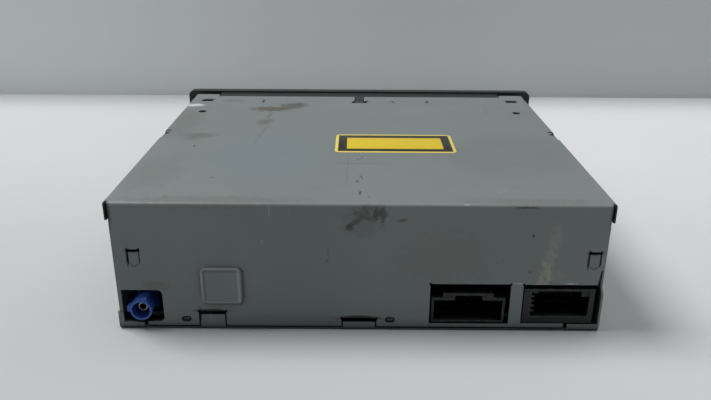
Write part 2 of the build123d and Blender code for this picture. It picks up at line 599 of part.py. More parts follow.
def bezel():
    middle = CASE_HEIGHT / 2
    face = Pos(0, middle) * RectangleRounded(BEZEL_WIDTH, CASE_HEIGHT + 2 * BEZEL_PROUD, BEZEL_CORNER)
    body = facing_y(face, FACE_BACK, FACE_FRONT)
    body = chamfer(body.faces().sort_by(Axis.Y)[-1].edges(), BEZEL_EDGE)
    lip = FRAME_INNER + BEZEL_WALL * 1.5
    for s in (-1, 1):
        x0, x1 = sorted((s * lip, s * (BEZEL_WIDTH / 2 - BEZEL_WALL)))
        body -= block(x0, x1, FACE_BACK - 1, SKIN_BACK, BEZEL_WALL, CASE_HEIGHT - BEZEL_WALL)
    back = COVER_FRONT + SEAM
    side = CORNER_TAB_INNER - 0.3
    body += block(-side, side, back, FACE_BACK + 1, 0, CASE_HEIGHT)
    body += block(-FRAME_HALF, FRAME_HALF, back, FACE_BACK + 1, SHEET + 0.3, ROOF - 0.3)
    body -= block(-FRAME_INNER, FRAME_INNER, back - 1, SKIN_BACK, BEZEL_WALL, CASE_HEIGHT - BEZEL_WALL)
    recess = Pos(0, DISC_Z) * RectangleRounded(BEZEL_WIDTH - 2 * FACE_RECESS_MARGIN, FACE_RECESS_HEIGHT, 2.0)
    body -= facing_y(recess, FACE_FRONT - FACE_RECESS, FACE_FRONT + 1)
    body -= block(-SLOT_WIDTH / 2, SLOT_WIDTH / 2, SKIN_BACK - 1, FACE_FRONT + 1, SLOT_LOW, SLOT_HIGH)
    front = FACE_FRONT - FACE_RECESS
    flare = outline((SKIN_BACK + FELT_DEPTH, SLOT_LOW), (SKIN_BACK + FELT_DEPTH, SLOT_HIGH),
                    (front + 0.1, SLOT_HIGH + SLOT_FLARE), (front + 0.1, SLOT_LOW - SLOT_FLARE))
    body -= facing_x(flare, -SLOT_WIDTH / 2, SLOT_WIDTH / 2)
    width, height = BUTTON_SIZE
    hole = Pos(BUTTON_X, DISC_Z) * RectangleRounded(width + 2 * BUTTON_GAP, height + 2 * BUTTON_GAP, 1.2)
    body -= facing_y(hole, SKIN_BACK - 1, FACE_FRONT + 1)
    lamp = around(LAMP_RADIUS, MORE_SIDES)
    body -= post_y(SKIN_BACK - 1, FACE_FRONT + 1, BUTTON_X, DISC_Z - LAMP_DROP, lamp, MORE_SIDES)
    body += [post_y(SWITCH_BOARD_FRONT, SKIN_BACK + 0.5, x, z, 2.2) for x, z in SWITCH_POSTS]
    for s in (-1, 1):
        x0, x1 = sorted((s * FLAP_BOSS_X, s * (FLAP_BOSS_X + 2.4)))
        body += block(x0, x1, FLAP_Y - 2, FLAP_Y + 2, FLAP_Z - 2.2, CASE_HEIGHT - 1)
        body -= post_x(x0 - 1, x1 + 1, FLAP_Y, FLAP_Z, around(FLAP_PIN, MORE_SIDES), MORE_SIDES)
        for z in HOOK_Z:
            near, far = s * (FRAME_HALF - 0.1), s * (SIDE - 0.2)
            top_view = outline((near, FACE_BACK - HOOK_LENGTH - 4.0), (far, FACE_BACK - 5.0),
                               (far, FACE_BACK - 4.0), (near, FACE_BACK - 4.0))
            body += extrude(Plane.XY.offset(z) * top_view, amount=HOOK_HEIGHT)
        for z in (BEZEL_WALL + 1, CASE_HEIGHT - BEZEL_WALL - 6):
            x0, x1 = sorted((s * (FRAME_INNER - 6), s * FRAME_HALF))
            body += block(x0, x1, PLATE_FRONT, back + 1, z, z + 5)
    tongue = LATCH_WIDTH / 2
    return body + block(-tongue, tongue, COVER_FRONT - LATCH_LENGTH, back + 1, ROOF - 1, CASE_HEIGHT - 0.1)


def slot_felts():
    half = SLOT_WIDTH / 2
    y = (SKIN_BACK, SKIN_BACK + FELT_DEPTH)
    return group([block(-half, half, *y, SLOT_HIGH - FELT, SLOT_HIGH), block(-half, half, *y, SLOT_LOW, SLOT_LOW + FELT)])


def dust_flap():
    half = SLOT_WIDTH / 2 + FLAP_LAP
    thick = FLAP_THICKNESS / 2
    body = block(-half, half, FLAP_Y - thick, FLAP_Y + thick, SLOT_LOW - FLAP_LAP, FLAP_Z)
    body += post_x(-half, half, FLAP_Y, FLAP_Z, FLAP_PIN + 0.5)
    for s in (-1, 1):
        body += rod_x(*sorted((s * (half - 0.1), s * (FLAP_BOSS_X + 2.2))), FLAP_Y, FLAP_Z, FLAP_PIN)
    return body


def flap_spring():
    """A leaf on the bezel's inner top that presses on the flat back of the flap's barrel."""
    z = CASE_HEIGHT - BEZEL_WALL
    leaf = block(-6, 6, FLAP_Y - 2.1, FLAP_Y - 1.8, FLAP_Z + 0.5, z)
    return leaf + block(-6, 6, FLAP_Y - 2.1, FLAP_Y + 4, z - 0.3, z)


def eject_button():
    width, height = BUTTON_SIZE
    front = FACE_FRONT - FACE_RECESS + BUTTON_PROUD
    cap = facing_y(Pos(BUTTON_X, DISC_Z) * RectangleRounded(width, height, 1.0), SKIN_BACK - 1.5, front)
    cap += block(BUTTON_X - width / 2 - 1, BUTTON_X + width / 2 + 1, SKIN_BACK - 1.5, SKIN_BACK,
                 DISC_Z - height / 2 - 1, DISC_Z + height / 2 + 1)
    stem_end = SWITCH_BOARD_FRONT + SWITCH_HEIGHT + PLUNGER_LENGTH + PLUNGER_GAP
    return cap + post_y(stem_end, SKIN_BACK - 1, BUTTON_X, DISC_Z, 1.6)


def tact_switch():
    y = SWITCH_BOARD_FRONT
    body = block(BUTTON_X - 3, BUTTON_X + 3, y, y + SWITCH_HEIGHT, DISC_Z - 3, DISC_Z + 3)
    return body - post_y(y + SWITCH_FLOOR, y + SWITCH_HEIGHT + 1, BUTTON_X, DISC_Z, around(PLUNGER_RADIUS, FEW_SIDES))


def switch_plunger():
    y = SWITCH_BOARD_FRONT + SWITCH_HEIGHT
    return post_y(y - BUTTON_TRAVEL - PLUNGER_GAP, y + PLUNGER_LENGTH, BUTTON_X, DISC_Z, PLUNGER_RADIUS)


def front_board():
    low, high = SWITCH_POSTS[0][1] - 3, SWITCH_POSTS[1][1] + 2.6
    return block(BUTTON_X - 8, BUTTON_X + 7.6, SWITCH_BOARD_BACK, SWITCH_BOARD_FRONT, low, high)


def light_guide():
    z = DISC_Z - LAMP_DROP
    body = post_y(SWITCH_BOARD_FRONT + 1.4, FACE_FRONT - 0.1, BUTTON_X, z, LAMP_RADIUS, MORE_SIDES)
    return body + post_y(SKIN_BACK - 1, SKIN_BACK, BUTTON_X, z, LAMP_RADIUS + 1)


def main_board():
    body = block(-BOARD_HALF, BOARD_HALF, BOARD_REAR, BOARD_FRONT, BOARD_LIFT, BOARD_TOP)
    body -= deck_posts(lambda x, y: post_z(0, BOARD_TOP + 1, x, y, POST_RADIUS + 1))
    return body - [post_z(0, BOARD_TOP + 1, x, y, around(BOARD_SCREW, FEW_SIDES)) for x, y in BOARD_SCREWS]


def board_screws():
    def screw(x, y):
        head = post_z(BOARD_TOP, BOARD_TOP + SCREW_HEAD_HEIGHT, x, y, BOARD_SCREW_HEAD)
        return head + post_z(SHEET + 0.2, BOARD_TOP + 0.1, x, y, BOARD_SCREW)
    return group(screw(x, y) for x, y in BOARD_SCREWS)


def on_board(x, y, width, depth, height):
    return block(x - width / 2, x + width / 2, y - depth / 2, y + depth / 2, BOARD_TOP, BOARD_TOP + height)


def processor():
    x, y, side, height = PROCESSOR
    return on_board(x, y, side, side, height)


def heat_spreader():
    x, y, lift = PROCESSOR[0], PROCESSOR[1], PROCESSOR[3]
    side, height, base, fin = SPREADER
    low = BOARD_TOP + lift
    body = block(x - side / 2, x + side / 2, y - side / 2, y + side / 2, low, low + base)
    pitch = (side - fin) / (SPREADER_FINS - 1)
    for i in range(SPREADER_FINS):
        left = x - side / 2 + i * pitch
        body += block(left, left + fin, y - side / 2, y + side / 2, low, low + height)
    return body


def memory_chips():
    x, y, side = PROCESSOR[:3]
    gap, half = MEMORY_GAP
    first = x + side / 2 + gap
    return group(on_board(first + i * MEMORY_PITCH, y + s * half, *MEMORY_CHIP) for i in (0, 1) for s in (-1, 1))


def capacitors():
    tall = DECK_Z - HEADROOM
    cans = [post_z(BOARD_TOP, tall, *place, MORE_SIDES) for place in LARGE_CAPACITORS]
    return group(cans + [post_z(BOARD_TOP, tall - 2, *place, MORE_SIDES) for place in SMALL_CAPACITORS])


def power_coil():
    x, y, side, height, radius = COIL
    pot = post_z(BOARD_TOP + height - 0.1, BOARD_TOP + COIL_HEIGHT, x, y, radius, MORE_SIDES)
    return on_board(x, y, side, side, height) + pot


def receiver_shield():
    can = on_board(*RECEIVER)
    return chamfer(can.faces().sort_by(Axis.Z)[-1].edges(), 0.4)


def turn_sensor():
    return on_board(*TURN_SENSOR)


def board_sockets():
    width, depth, height = RIBBON_SOCKET
    return group([on_board(RIBBON_START[0] + width / 2, SPINDLE_Y, width, depth, height), on_board(*FRONT_SOCKET)])


def pickup_ribbon():
    """Flat cable that loops back under the pickup, as a strip of constant thickness."""
    x, low = RIBBON_START
    high = TRAVERSE_Z - 1.8 - RIBBON_SHEET / 2
    low += RIBBON_SHEET / 2
    bend = (high - low) / 2
    left = -LENS_INNER - 22
    centre = Line((x, low), (left, low)) + ThreePointArc((left, low), (left - bend, low + bend), (left, high))
    centre += Line((left, high), (-LENS_INNER - 2, high))
    strip = Plane.XZ * centre
    section = Plane((x, 0, low), x_dir=(0, 1, 0), z_dir=(-1, 0, 0)) * Rectangle(RIBBON_WIDTH, RIBBON_SHEET)
    return Pos(0, SPINDLE_Y, 0) * sweep(section, path=strip)


def socket(sides_and_top, cavity, floor):
    """Housing of a rear socket with a plain cavity; its front part hangs down behind the board's edge."""
    left, right, top = sides_and_top
    body = block(left, right, SOCKET_SETBACK, SOCKET_BACK, BOARD_TOP, top)
    body += block(left, right, SOCKET_SETBACK, BOARD_REAR - SEAM, SKIRT_Z, BOARD_TOP + 0.1)
    x0, x1, ceiling = cavity
    return body - block(x0, x1, 0, SOCKET_BACK - SOCKET_BACKING, floor, ceiling)


def pin_rows(first, pitch, heights, count):
    """Square pins: along the cavity, through the housing's back and down to the board."""
    pins = []
    t = PIN_THICKNESS
    for row, z in enumerate(heights):
        drop = SOCKET_BACK + PIN_BEHIND + row * PIN_ROW_STEP
        for i in range(count):
            x = first + i * pitch
            pins.append(block(x, x + t, SOCKET_BACK - SOCKET_BACKING - PIN_LENGTH, drop + t, z, z + t)
                        + block(x, x + t, drop, drop + t, BOARD_TOP, z + t))
    return pins


def power_connector():
    left, right, top = POWER_HOOD
    slot_left, slot_right, slot_top = LATCH_SLOT
    depth = SOCKET_BACK - SOCKET_BACKING
    body = socket(POWER_SOCKET, POWER_CAVITY, BOARD_TOP + SOCKET_FLOOR)
    body += block(left, right, SOCKET_SETBACK, SOCKET_BACK, POWER_SOCKET[2] - 0.1, top)
    body -= block(slot_left, slot_right, 0, depth, POWER_CAVITY[2] - 0.1, slot_top)
    body -= block(*POWER_CAVITY[:2], 0, BOARD_REAR - 2 * SEAM, SKIRT_Z + SOCKET_FLOOR, BOARD_TOP + SOCKET_FLOOR + 0.1)
    return body - pin_rows(*POWER_PINS, POWER_PIN_COUNT)


def power_pins():
    return group(pin_rows(*POWER_PINS, POWER_PIN_COUNT))


def data_connector():
    depth = SOCKET_BACK - SOCKET_BACKING
    body = socket(SIGNAL_SOCKET, SIGNAL_CAVITY, SIGNAL_FLOOR)
    left, ceiling = SIGNAL_CAVITY[0], SIGNAL_CAVITY[2]
    length, thickness = RIB
    for z in SIGNAL_RIBS:
        body += block(left - 0.1, left + length, SOCKET_SETBACK + 0.6, depth + 0.1, z, z + thickness)
    for x0, x1, bottom in SIGNAL_KEYS:
        body += block(x0 - 0.1, x1 + 0.1, SOCKET_SETBACK + 0.6, depth + 0.1, bottom, ceiling + 0.1)
    return body - pin_rows(*SIGNAL_PINS, SIGNAL_PIN_COUNT)


def data_pins():
    return group(pin_rows(*SIGNAL_PINS, SIGNAL_PIN_COUNT))


def antenna_housing():
    x, z = ANTENNA_AXIS
    back = ANTENNA_LENGTH - ANTENNA_PROUD
    half, start = ANTENNA_FOOT
    body = rod_y(-ANTENNA_PROUD, back, x, z, ANTENNA_RADIUS)
    body += block(x - half, x + half, start, back, BOARD_TOP, z + half)
    body += block(x - 5.2, x - 3.0, -ANTENNA_PROUD + 0.8, 6.0, z - 1.0, z + 1.0)
    body += block(x + 0.6, x + 2.4, -ANTENNA_PROUD + 0.4, 6.0, z + 3.0, z + 4.9)
    body += block(x - 1.2, x + 1.2, -ANTENNA_PROUD + 1.2, 6.0, z + 3.0, z + 4.6)
    body -= rod_y(-ANTENNA_PROUD - 1, back - 3.0, x, z, ANTENNA_RADIUS - ANTENNA_WALL)
    return body - post_y(back - 4, back + 1, x, z, around(SHIELD_RADIUS, MORE_SIDES), MORE_SIDES)


def antenna_shield():
    x, z = ANTENNA_AXIS
    back = ANTENNA_LENGTH - ANTENNA_PROUD
    tube = post_y(SHIELD_START, back + 0.6, x, z, SHIELD_RADIUS, MORE_SIDES)
    tube -= post_y(SHIELD_START - 1, back - 3.2, x, z, SHIELD_RADIUS - 0.4, MORE_SIDES)
    return tube - post_y(back - 4, back + 1, x, z, around(ANTENNA_WALL, FEW_SIDES))


def antenna_pin():
    x, z = ANTENNA_AXIS
    back = ANTENNA_LENGTH - ANTENNA_PROUD
    return post_y(SHIELD_START + 1, back - 3.2, x, z, 0.45) + post_y(back - 3.3, back + 1.6, x, z, ANTENNA_WALL)


def deck_posts(build):
    return [build(s * POST_X, y) for s in (-1, 1) for y in POST_Y]


def deck_frame():
    body = block(-DECK_HALF, DECK_HALF, DECK_REAR, DECK_FRONT, DECK_Z, DECK_TOP)
    for s in (-1, 1):
        x0, x1 = sorted((s * DECK_INNER, s * DECK_HALF))
        body += block(x0, x1, DECK_REAR, DECK_FRONT, DECK_Z, DECK_WALL_TOP)
    body += block(-70, 70, DECK_FRONT - DECK_SHEET, DECK_FRONT, DECK_Z, DECK_Z + 6.5)
    body += block(-60, 60, DECK_REAR, DECK_REAR + DECK_SHEET, DECK_Z, DECK_Z + 4.5)
    floor = (DECK_Z - 1, DECK_TOP + 0.5)
    body -= block(-DECK_INNER + 4, -4, SPINDLE_Y - 16, SPINDLE_Y + 16, *floor)
    body -= block(24, 64, SPINDLE_Y - 26, SPINDLE_Y + 12, *floor)
    body -= block(-40, 40, DECK_REAR + 8, SPINDLE_Y - 34, *floor)
    body -= block(-44, 44, SPINDLE_Y + 36, ROLLER_Y - 8, *floor)
    body -= deck_posts(lambda x, y: post_z(*floor, x, y, around(DAMPER_NECK, FEW_SIDES)))
    for s in (-1, 1):
        x0, x1 = sorted((s * (DECK_INNER - 1), s * (DECK_HALF + 1)))
        body -= post_x(x0, x1, ROLLER_Y, ROLLER_Z, around(BUSH_RADIUS, MORE_SIDES), MORE_SIDES)
    body -= post_x(-DECK_HALF - 1, -DECK_INNER + 1, MOTOR_Y, MOTOR_Z, 2.2)
    body -= post_x(DECK_INNER - 1, DECK_HALF + 1, MODE_MOTOR_Y, MODE_PINION_Z, 2.2)
    width = 2 * (DRIVE_PIN + SLIDING)
    body -= block(DECK_INNER - 1, DECK_HALF + 1, DRIVE_Y - width / 2 - 0.2, DRIVE_Y + width / 2 + 0.2,
                  DRIVE_LOW - width / 2, DECK_WALL_TOP + 1)
    for y in STUD_Y:
        z = SLIDER_Z + SLIDER_HEIGHT / 2
        end = SLIDER_X + MODE_SHEET + SLIDING
        body += post_x(DECK_HALF - 0.1, end, y, z, STUD_RADIUS) + post_x(end, end + 0.7, y, z, STUD_RADIUS + 1.3)
    end = OUTER_GEAR_X - GEAR_WIDTH - GEAR_GAP
    body += rod_x(end, -DECK_HALF + 0.1, COMPOUND_Y, COMPOUND_Z, AXLE_RADIUS)
    body += post_x(end - 0.5, end, COMPOUND_Y, COMPOUND_Z, AXLE_RADIUS + 0.8)
    return body + post_x(GEAR_X + RUNNING, -DECK_HALF + 0.1, COMPOUND_Y, COMPOUND_Z, AXLE_RADIUS + 1.2)


def lever_angle(turn):
    return 135.0 - turn


def lever_window():
    """Plan of the slot in which the left lever's pin swings, about the lever's pivot."""
    wide = LEVER_PIN + 0.6
    start, end = lever_angle(0) + 8, lever_angle(LEVER_SWING) - 8
    turns = [end + (start - end) * i / LEVER_WINDOW_STEPS for i in range(LEVER_WINDOW_STEPS + 1)]
    arc = [(cos(radians(a)), sin(radians(a))) for a in turns]
    far = [((LEVER_LENGTH + wide) * c, (LEVER_LENGTH + wide) * s) for c, s in arc]
    near = [((LEVER_LENGTH - wide) * c, (LEVER_LENGTH - wide) * s) for c, s in reversed(arc)]
    return outline(*far, *near)


def disc_guide():
    rear = PIVOT_Y - DECK_PAST_PIVOT
    through = (GUIDE_Z - 1, GUIDE_TOP + 1)
    body = block(-DECK_INNER, DECK_INNER, rear, DECK_FRONT - 1, GUIDE_Z, GUIDE_TOP)
    body -= post_z(*through, 0, SPINDLE_Y, CLAMPER_RADIUS + 2.5, MANY_SIDES)
    body -= [block(x - 14, x + 14, SPINDLE_Y - 24, SPINDLE_Y + 14, *through) for x in (-48, 48)]
    body -= [block(x - 17, x + 17, SPINDLE_Y + 26, SPINDLE_Y + 42, *through) for x in (-20, 20)]
    left = Pos(-LEVER_X, LEVER_Y, GUIDE_Z - 1) * mirror(extrude(lever_window(), amount=GUIDE_THICKNESS + 2), Plane.YZ)
    body -= [left, mirror(left, Plane.YZ)]
    body -= block(-EAR_X, EAR_X, PIVOT_Y - 4, PIVOT_Y + 4, *through)
    for s in (-1, 1):
        x0, x1 = sorted((s * 8.0, s * 34.0))
        body += block(x0, x1, ROLLER_Y - 5, DECK_FRONT - 1, DISC_TOP + RAIL_GAP, GUIDE_Z)
        x0, x1 = sorted((s * EAR_X, s * (EAR_X + GUIDE_THICKNESS)))
        body += block(x0, x1, PIVOT_Y - 4, PIVOT_Y + 4, GUIDE_Z, PIVOT_Z + 3)
        body -= post_x(x0 - 1, x1 + 1, PIVOT_Y, PIVOT_Z, around(AXLE_RADIUS, MORE_SIDES, 0.02), MORE_SIDES)
        body += rod_z(GUIDE_Z, GUIDE_TOP + 2.2, s * LEVER_X, LEVER_Y, LEVER_POST)
        body += block(*sorted((s * (DECK_INNER - 1.2), s * DECK_INNER)), rear, DECK_FRONT - 1, GUIDE_Z, GUIDE_TOP + 2)
    return body - block(DECK_INNER - 3, DECK_INNER + 1, DRIVE_Y - 6, DRIVE_Y + 6, GUIDE_TOP, GUIDE_TOP + 3)


def suspension_posts():
    top = DECK_Z - POST_TOP_GAP
    return group(deck_posts(lambda x, y: post_z(SHEET, top, x, y, POST_RADIUS)
                            - post_z(top - 4, DECK_Z, x, y, DAMPER_BORE - 0.3)))


def deck_dampers():
    def damper(x, y):
        body = post_z(DECK_Z - POST_TOP_GAP, DECK_Z, x, y, DAMPER_RADIUS)
        body += post_z(DECK_Z - 0.1, DECK_TOP + 0.1, x, y, DAMPER_NECK)
        body += post_z(DECK_TOP, DECK_TOP + DAMPER_CAP, x, y, DAMPER_RADIUS)
        return body - post_z(0, CASE_HEIGHT, x, y, around(DAMPER_BORE, FEW_SIDES))
    return group(deck_posts(damper))


def damper_screws():
    top = DECK_TOP + DAMPER_CAP
    return group(deck_posts(lambda x, y: post_z(DECK_Z - POST_TOP_GAP, top + 0.1, x, y, DAMPER_BORE)
                            + post_z(top, top + SCREW_HEAD, x, y, DAMPER_BORE + 2.0)))


def roller_shaft():
    start, end = GEAR_X - GEAR_WIDTH - 0.1, DECK_INNER - BUSH_ROOM
    body = post_x(start, end + 0.1, ROLLER_Y, ROLLER_Z, SHAFT_RADIUS, MORE_SIDES)
    body += rod_x(end, DECK_HALF + 1.0, ROLLER_Y, ROLLER_Z, SHAFT_RADIUS)
    body += post_x(-ROLLER_COLLAR, ROLLER_COLLAR, ROLLER_Y, ROLLER_Z, SHAFT_RADIUS + 0.9)
    return body + post_x(GEAR_X, GEAR_X + 0.4, ROLLER_Y, ROLLER_Z, SHAFT_RADIUS + 0.9)


def roller_rubbers():
    """Two sleeves, thinner towards the middle so that only the disc's edge is gripped."""
    def sleeve(s):
        ends = [Plane.YZ.offset(s * x) * Pos(ROLLER_Y, ROLLER_Z) * flat_sided(radius, MORE_SIDES)
                for x, radius in ((ROLLER_COLLAR, ROLLER_WAIST_RADIUS), (ROLLER_HALF, ROLLER_END_RADIUS))]
        cone = loft(ends, ruled=True)
        bore = around(SHAFT_RADIUS, MORE_SIDES)
        return cone - post_x(-ROLLER_HALF - 1, ROLLER_HALF + 1, ROLLER_Y, ROLLER_Z, bore, MORE_SIDES)
    return group([sleeve(-1), sleeve(1)])


def roller_bushes():
    def bush(s):
        x0, x1 = sorted((s * (DECK_INNER - BUSH_ROOM), s * DECK_INNER))
        body = post_x(x0, x1, ROLLER_Y, ROLLER_Z, BUSH_FLANGE, MORE_SIDES)
        x0, x1 = sorted((s * (DECK_INNER - 0.1), s * (DECK_HALF + 0.3)))
        body += post_x(x0, x1, ROLLER_Y, ROLLER_Z, BUSH_RADIUS, MORE_SIDES)
        return body - post_x(-WIDTH, WIDTH, ROLLER_Y, ROLLER_Z, around(SHAFT_RADIUS, MORE_SIDES), MORE_SIDES)
    return group([bush(-1), bush(1)])


def gear(teeth, turn):
    """Plan of a spur gear, its flanks drawn straight between two points of the involute.

    One tooth is centred on the direction turn, in degrees.
    """
    pitch = MODULE * teeth / 2
    base = pitch * cos(radians(PRESSURE_ANGLE))
    tip = pitch + TOOTH_TIP * MODULE
    root = pitch - TOOTH_ROOT * MODULE
    rolled = tan(radians(PRESSURE_ANGLE)) - radians(PRESSURE_ANGLE)
    half_tooth = pi / (2 * teeth) - BACKLASH / (4 * pitch)

    def half_width(radius):
        if radius <= base:
            return half_tooth + rolled
        unwound = acos(base / radius)
        return half_tooth + rolled - (tan(unwound) - unwound)

    points = []
    for i in range(teeth):
        centre = radians(turn) + 2 * pi * i / teeth
        flank = [(r, half_width(r)) for r in (root, tip)]
        points += [(r * cos(centre - w), r * sin(centre - w)) for r, w in flank]
        points += [(r * cos(centre + w), r * sin(centre + w)) for r, w in reversed(flank)]
    return outline(*points)


def direction(y0, z0, y1, z1):
    return degrees(atan2(z1 - z0, y1 - y0))


def roller_gear():
    toward = direction(ROLLER_Y, ROLLER_Z, COMPOUND_Y, COMPOUND_Z)
    plan = Pos(ROLLER_Y, ROLLER_Z) * gear(ROLLER_TEETH, toward)
    bore = around(SHAFT_RADIUS, MORE_SIDES)
    body = facing_x(plan, GEAR_X - GEAR_WIDTH, GEAR_X)
    return body - post_x(GEAR_X - 10, GEAR_X + 1, ROLLER_Y, ROLLER_Z, bore, MORE_SIDES)


def compound_gear():
    toward = direction(COMPOUND_Y, COMPOUND_Z, ROLLER_Y, ROLLER_Z)
    small = Pos(COMPOUND_Y, COMPOUND_Z) * gear(SMALL_TEETH, toward + 180 / SMALL_TEETH)
    toward = direction(COMPOUND_Y, COMPOUND_Z, MOTOR_Y, MOTOR_Z)
    large = Pos(COMPOUND_Y, COMPOUND_Z) * gear(LARGE_TEETH, toward)
    body = facing_x(small, GEAR_X - GEAR_WIDTH - GEAR_GAP - 0.1, GEAR_X)
    body += facing_x(large, OUTER_GEAR_X - GEAR_WIDTH, OUTER_GEAR_X)
    bore = around(AXLE_RADIUS, MORE_SIDES)
    return body - post_x(-WIDTH, 0, COMPOUND_Y, COMPOUND_Z, bore, MORE_SIDES)


def motor_pinion():
    toward = direction(MOTOR_Y, MOTOR_Z, COMPOUND_Y, COMPOUND_Z)
    plan = Pos(MOTOR_Y, MOTOR_Z) * gear(PINION_TEETH, toward + 180 / PINION_TEETH)
    body = facing_x(plan, OUTER_GEAR_X - GEAR_WIDTH, OUTER_GEAR_X)
    body += post_x(OUTER_GEAR_X - 0.1, -DECK_HALF - 0.3, MOTOR_Y, MOTOR_Z, 1.7)
    return body + rod_x(-DECK_HALF - 0.4, -DECK_INNER + 3, MOTOR_Y, MOTOR_Z, AXLE_RADIUS)


def motor_can(side, y, z):
    x0, x1 = sorted((side * DECK_INNER, side * (DECK_INNER - MOTOR_LENGTH)))
    can = Pos(y, z) * Rot(0, 0, 15) * flat_sided(MOTOR_RADIUS, MORE_SIDES)
    can &= Pos(y, z) * Rectangle(2 * MOTOR_RADIUS, 1.64 * MOTOR_RADIUS)
    x2, x3 = sorted((side * (DECK_INNER - 4), side * (DECK_INNER + 1)))
    body = facing_x(can, x0, x1) - post_x(x2, x3, y, z, around(AXLE_RADIUS, FEW_SIDES))
    x0, x1 = sorted((side * (DECK_INNER - MOTOR_LENGTH), side * (DECK_INNER - MOTOR_LENGTH - 1.2)))
    return body + post_x(x0, x1, y, z, 2.4)


def loading_motor():
    return motor_can(-1, MOTOR_Y, MOTOR_Z)


def mode_motor():
    return motor_can(1, MODE_MOTOR_Y, MODE_PINION_Z)


def mode_pinion():
    plan = Pos(MODE_MOTOR_Y, MODE_PINION_Z) * gear(SMALL_TEETH, 90.0)
    body = facing_x(plan, SLIDER_X, SLIDER_X + 2 * MODE_SHEET)
    return body + rod_x(DECK_INNER - 3, SLIDER_X + 0.1, MODE_MOTOR_Y, MODE_PINION_Z, AXLE_RADIUS)


def mode_slider():
    top = SLIDER_Z + SLIDER_HEIGHT
    plan = Pos(SLIDER_REAR + SLIDER_LENGTH / 2, SLIDER_Z + SLIDER_HEIGHT / 2) * Rectangle(SLIDER_LENGTH, SLIDER_HEIGHT)
    ramp = ((DRIVE_Y - MODE_STROKE, DRIVE_LOW), (DRIVE_Y, DRIVE_HIGH))
    plan += outline((DRIVE_Y - MODE_STROKE - 5, top - 1), (DRIVE_Y - MODE_STROKE - 5, DRIVE_LOW + 3),
                    (DRIVE_Y - 3, DRIVE_HIGH + 3), (DRIVE_Y + 4, DRIVE_HIGH + 3), (DRIVE_Y + 4, top - 1))
    pitch = pi * MODULE
    deep, tip = MODULE * 1.5, MODULE * TOOTH_TIP
    slope = tan(radians(PRESSURE_ANGLE))
    wide = pitch / 4 - BACKLASH / 4
    count = int(MODE_STROKE / pitch) + 4
    for i in range(-count, 4):
        y = MODE_MOTOR_Y + (i + 0.5) * pitch
        plan += outline((y - wide - deep * slope, SLIDER_Z + 0.1), (y - wide - deep * slope, SLIDER_Z),
                        (y - wide + tip * slope, RACK_Z - tip), (y + wide - tip * slope, RACK_Z - tip),
                        (y + wide + deep * slope, SLIDER_Z), (y + wide + deep * slope, SLIDER_Z + 0.1))
    groove = DRIVE_PIN + SLIDING
    (y0, z0), (y1, z1) = ramp
    run = hypot(y1 - y0, z1 - z0)
    lean = degrees(atan2(z1 - z0, y1 - y0))
    plan -= Pos((y0 + y1) / 2, (z0 + z1) / 2) * Rot(0, 0, lean) * SlotCenterToCenter(run, 2 * groove)
    room = STUD_RADIUS + SLIDING
    for y in STUD_Y:
        plan -= Pos(y - MODE_STROKE / 2, SLIDER_Z + SLIDER_HEIGHT / 2) * Rectangle(MODE_STROKE + 2 * room, 2 * room)
    return facing_x(plan, SLIDER_X, SLIDER_X + MODE_SHEET)


def raised(body):
    """Turn a piece of the clamp from its level place to its lifted place about the pivot."""
    return Pos(0, PIVOT_Y, PIVOT_Z) * Rot(CLAMP_ANGLE, 0, 0) * Pos(0, -PIVOT_Y, -PIVOT_Z) * body


def clamp_arm():
    front = SPINDLE_Y + 12
    side = EAR_X - SLIDING
    plan = outline((-side, PIVOT_Y - 4), (side, PIVOT_Y - 4), (side, PIVOT_Y + 6),
                   (ARM_HALF + 3, PIVOT_Y + 16), (ARM_HALF + 3, DRIVE_Y - 5), (DECK_INNER - 1, DRIVE_Y - 3),
                   (DECK_INNER - 1, DRIVE_Y + 3), (ARM_HALF + 3, DRIVE_Y + 5), (ARM_HALF, SPINDLE_Y - 4),
                   (ARM_HALF - 1, front - 3), (6, front), (-6, front), (-ARM_HALF + 1, front - 3),
                   (-ARM_HALF, SPINDLE_Y - 4), (-ARM_HALF - 3, PIVOT_Y + 16), (-side, PIVOT_Y + 6))
    plan -= Pos(0, SPINDLE_Y) * flat_sided(around(NECK_RADIUS, MORE_SIDES), MORE_SIDES)
    plan -= Pos(0, PIVOT_Y + 22) * Rectangle(16, 7)
    body = extrude(Plane.XY.offset(ARM_Z) * plan, amount=ARM_SHEET)
    for s in (-1, 1):
        x0, x1 = sorted((s * (side - ARM_SHEET), s * side))
        body += block(x0, x1, PIVOT_Y - 2.6, PIVOT_Y + 2.6, PIVOT_Z - 2.0, ARM_Z + 0.1)
        body -= post_x(x0 - 1, x1 + 1, PIVOT_Y, PIVOT_Z, around(AXLE_RADIUS, MORE_SIDES), MORE_SIDES)
    body += block(DECK_INNER - 2, DECK_INNER - 1, DRIVE_Y - 2.4, DRIVE_Y + 2.4, ARM_Z - 1.6, ARM_Z + 2.6)
    body += post_x(DECK_INNER - 1.1, SLIDER_X + MODE_SHEET + 0.2, DRIVE_Y, DRIVE_LOW, DRIVE_PIN)
    return raised(body)


def clamp_pivot():
    end = EAR_X + GUIDE_THICKNESS
    body = rod_x(-end, end, PIVOT_Y, PIVOT_Z, AXLE_RADIUS)
    return body + [post_x(*sorted((s * end, s * (end + 0.8))), PIVOT_Y, PIVOT_Z, PIVOT_HEAD) for s in (-1, 1)]


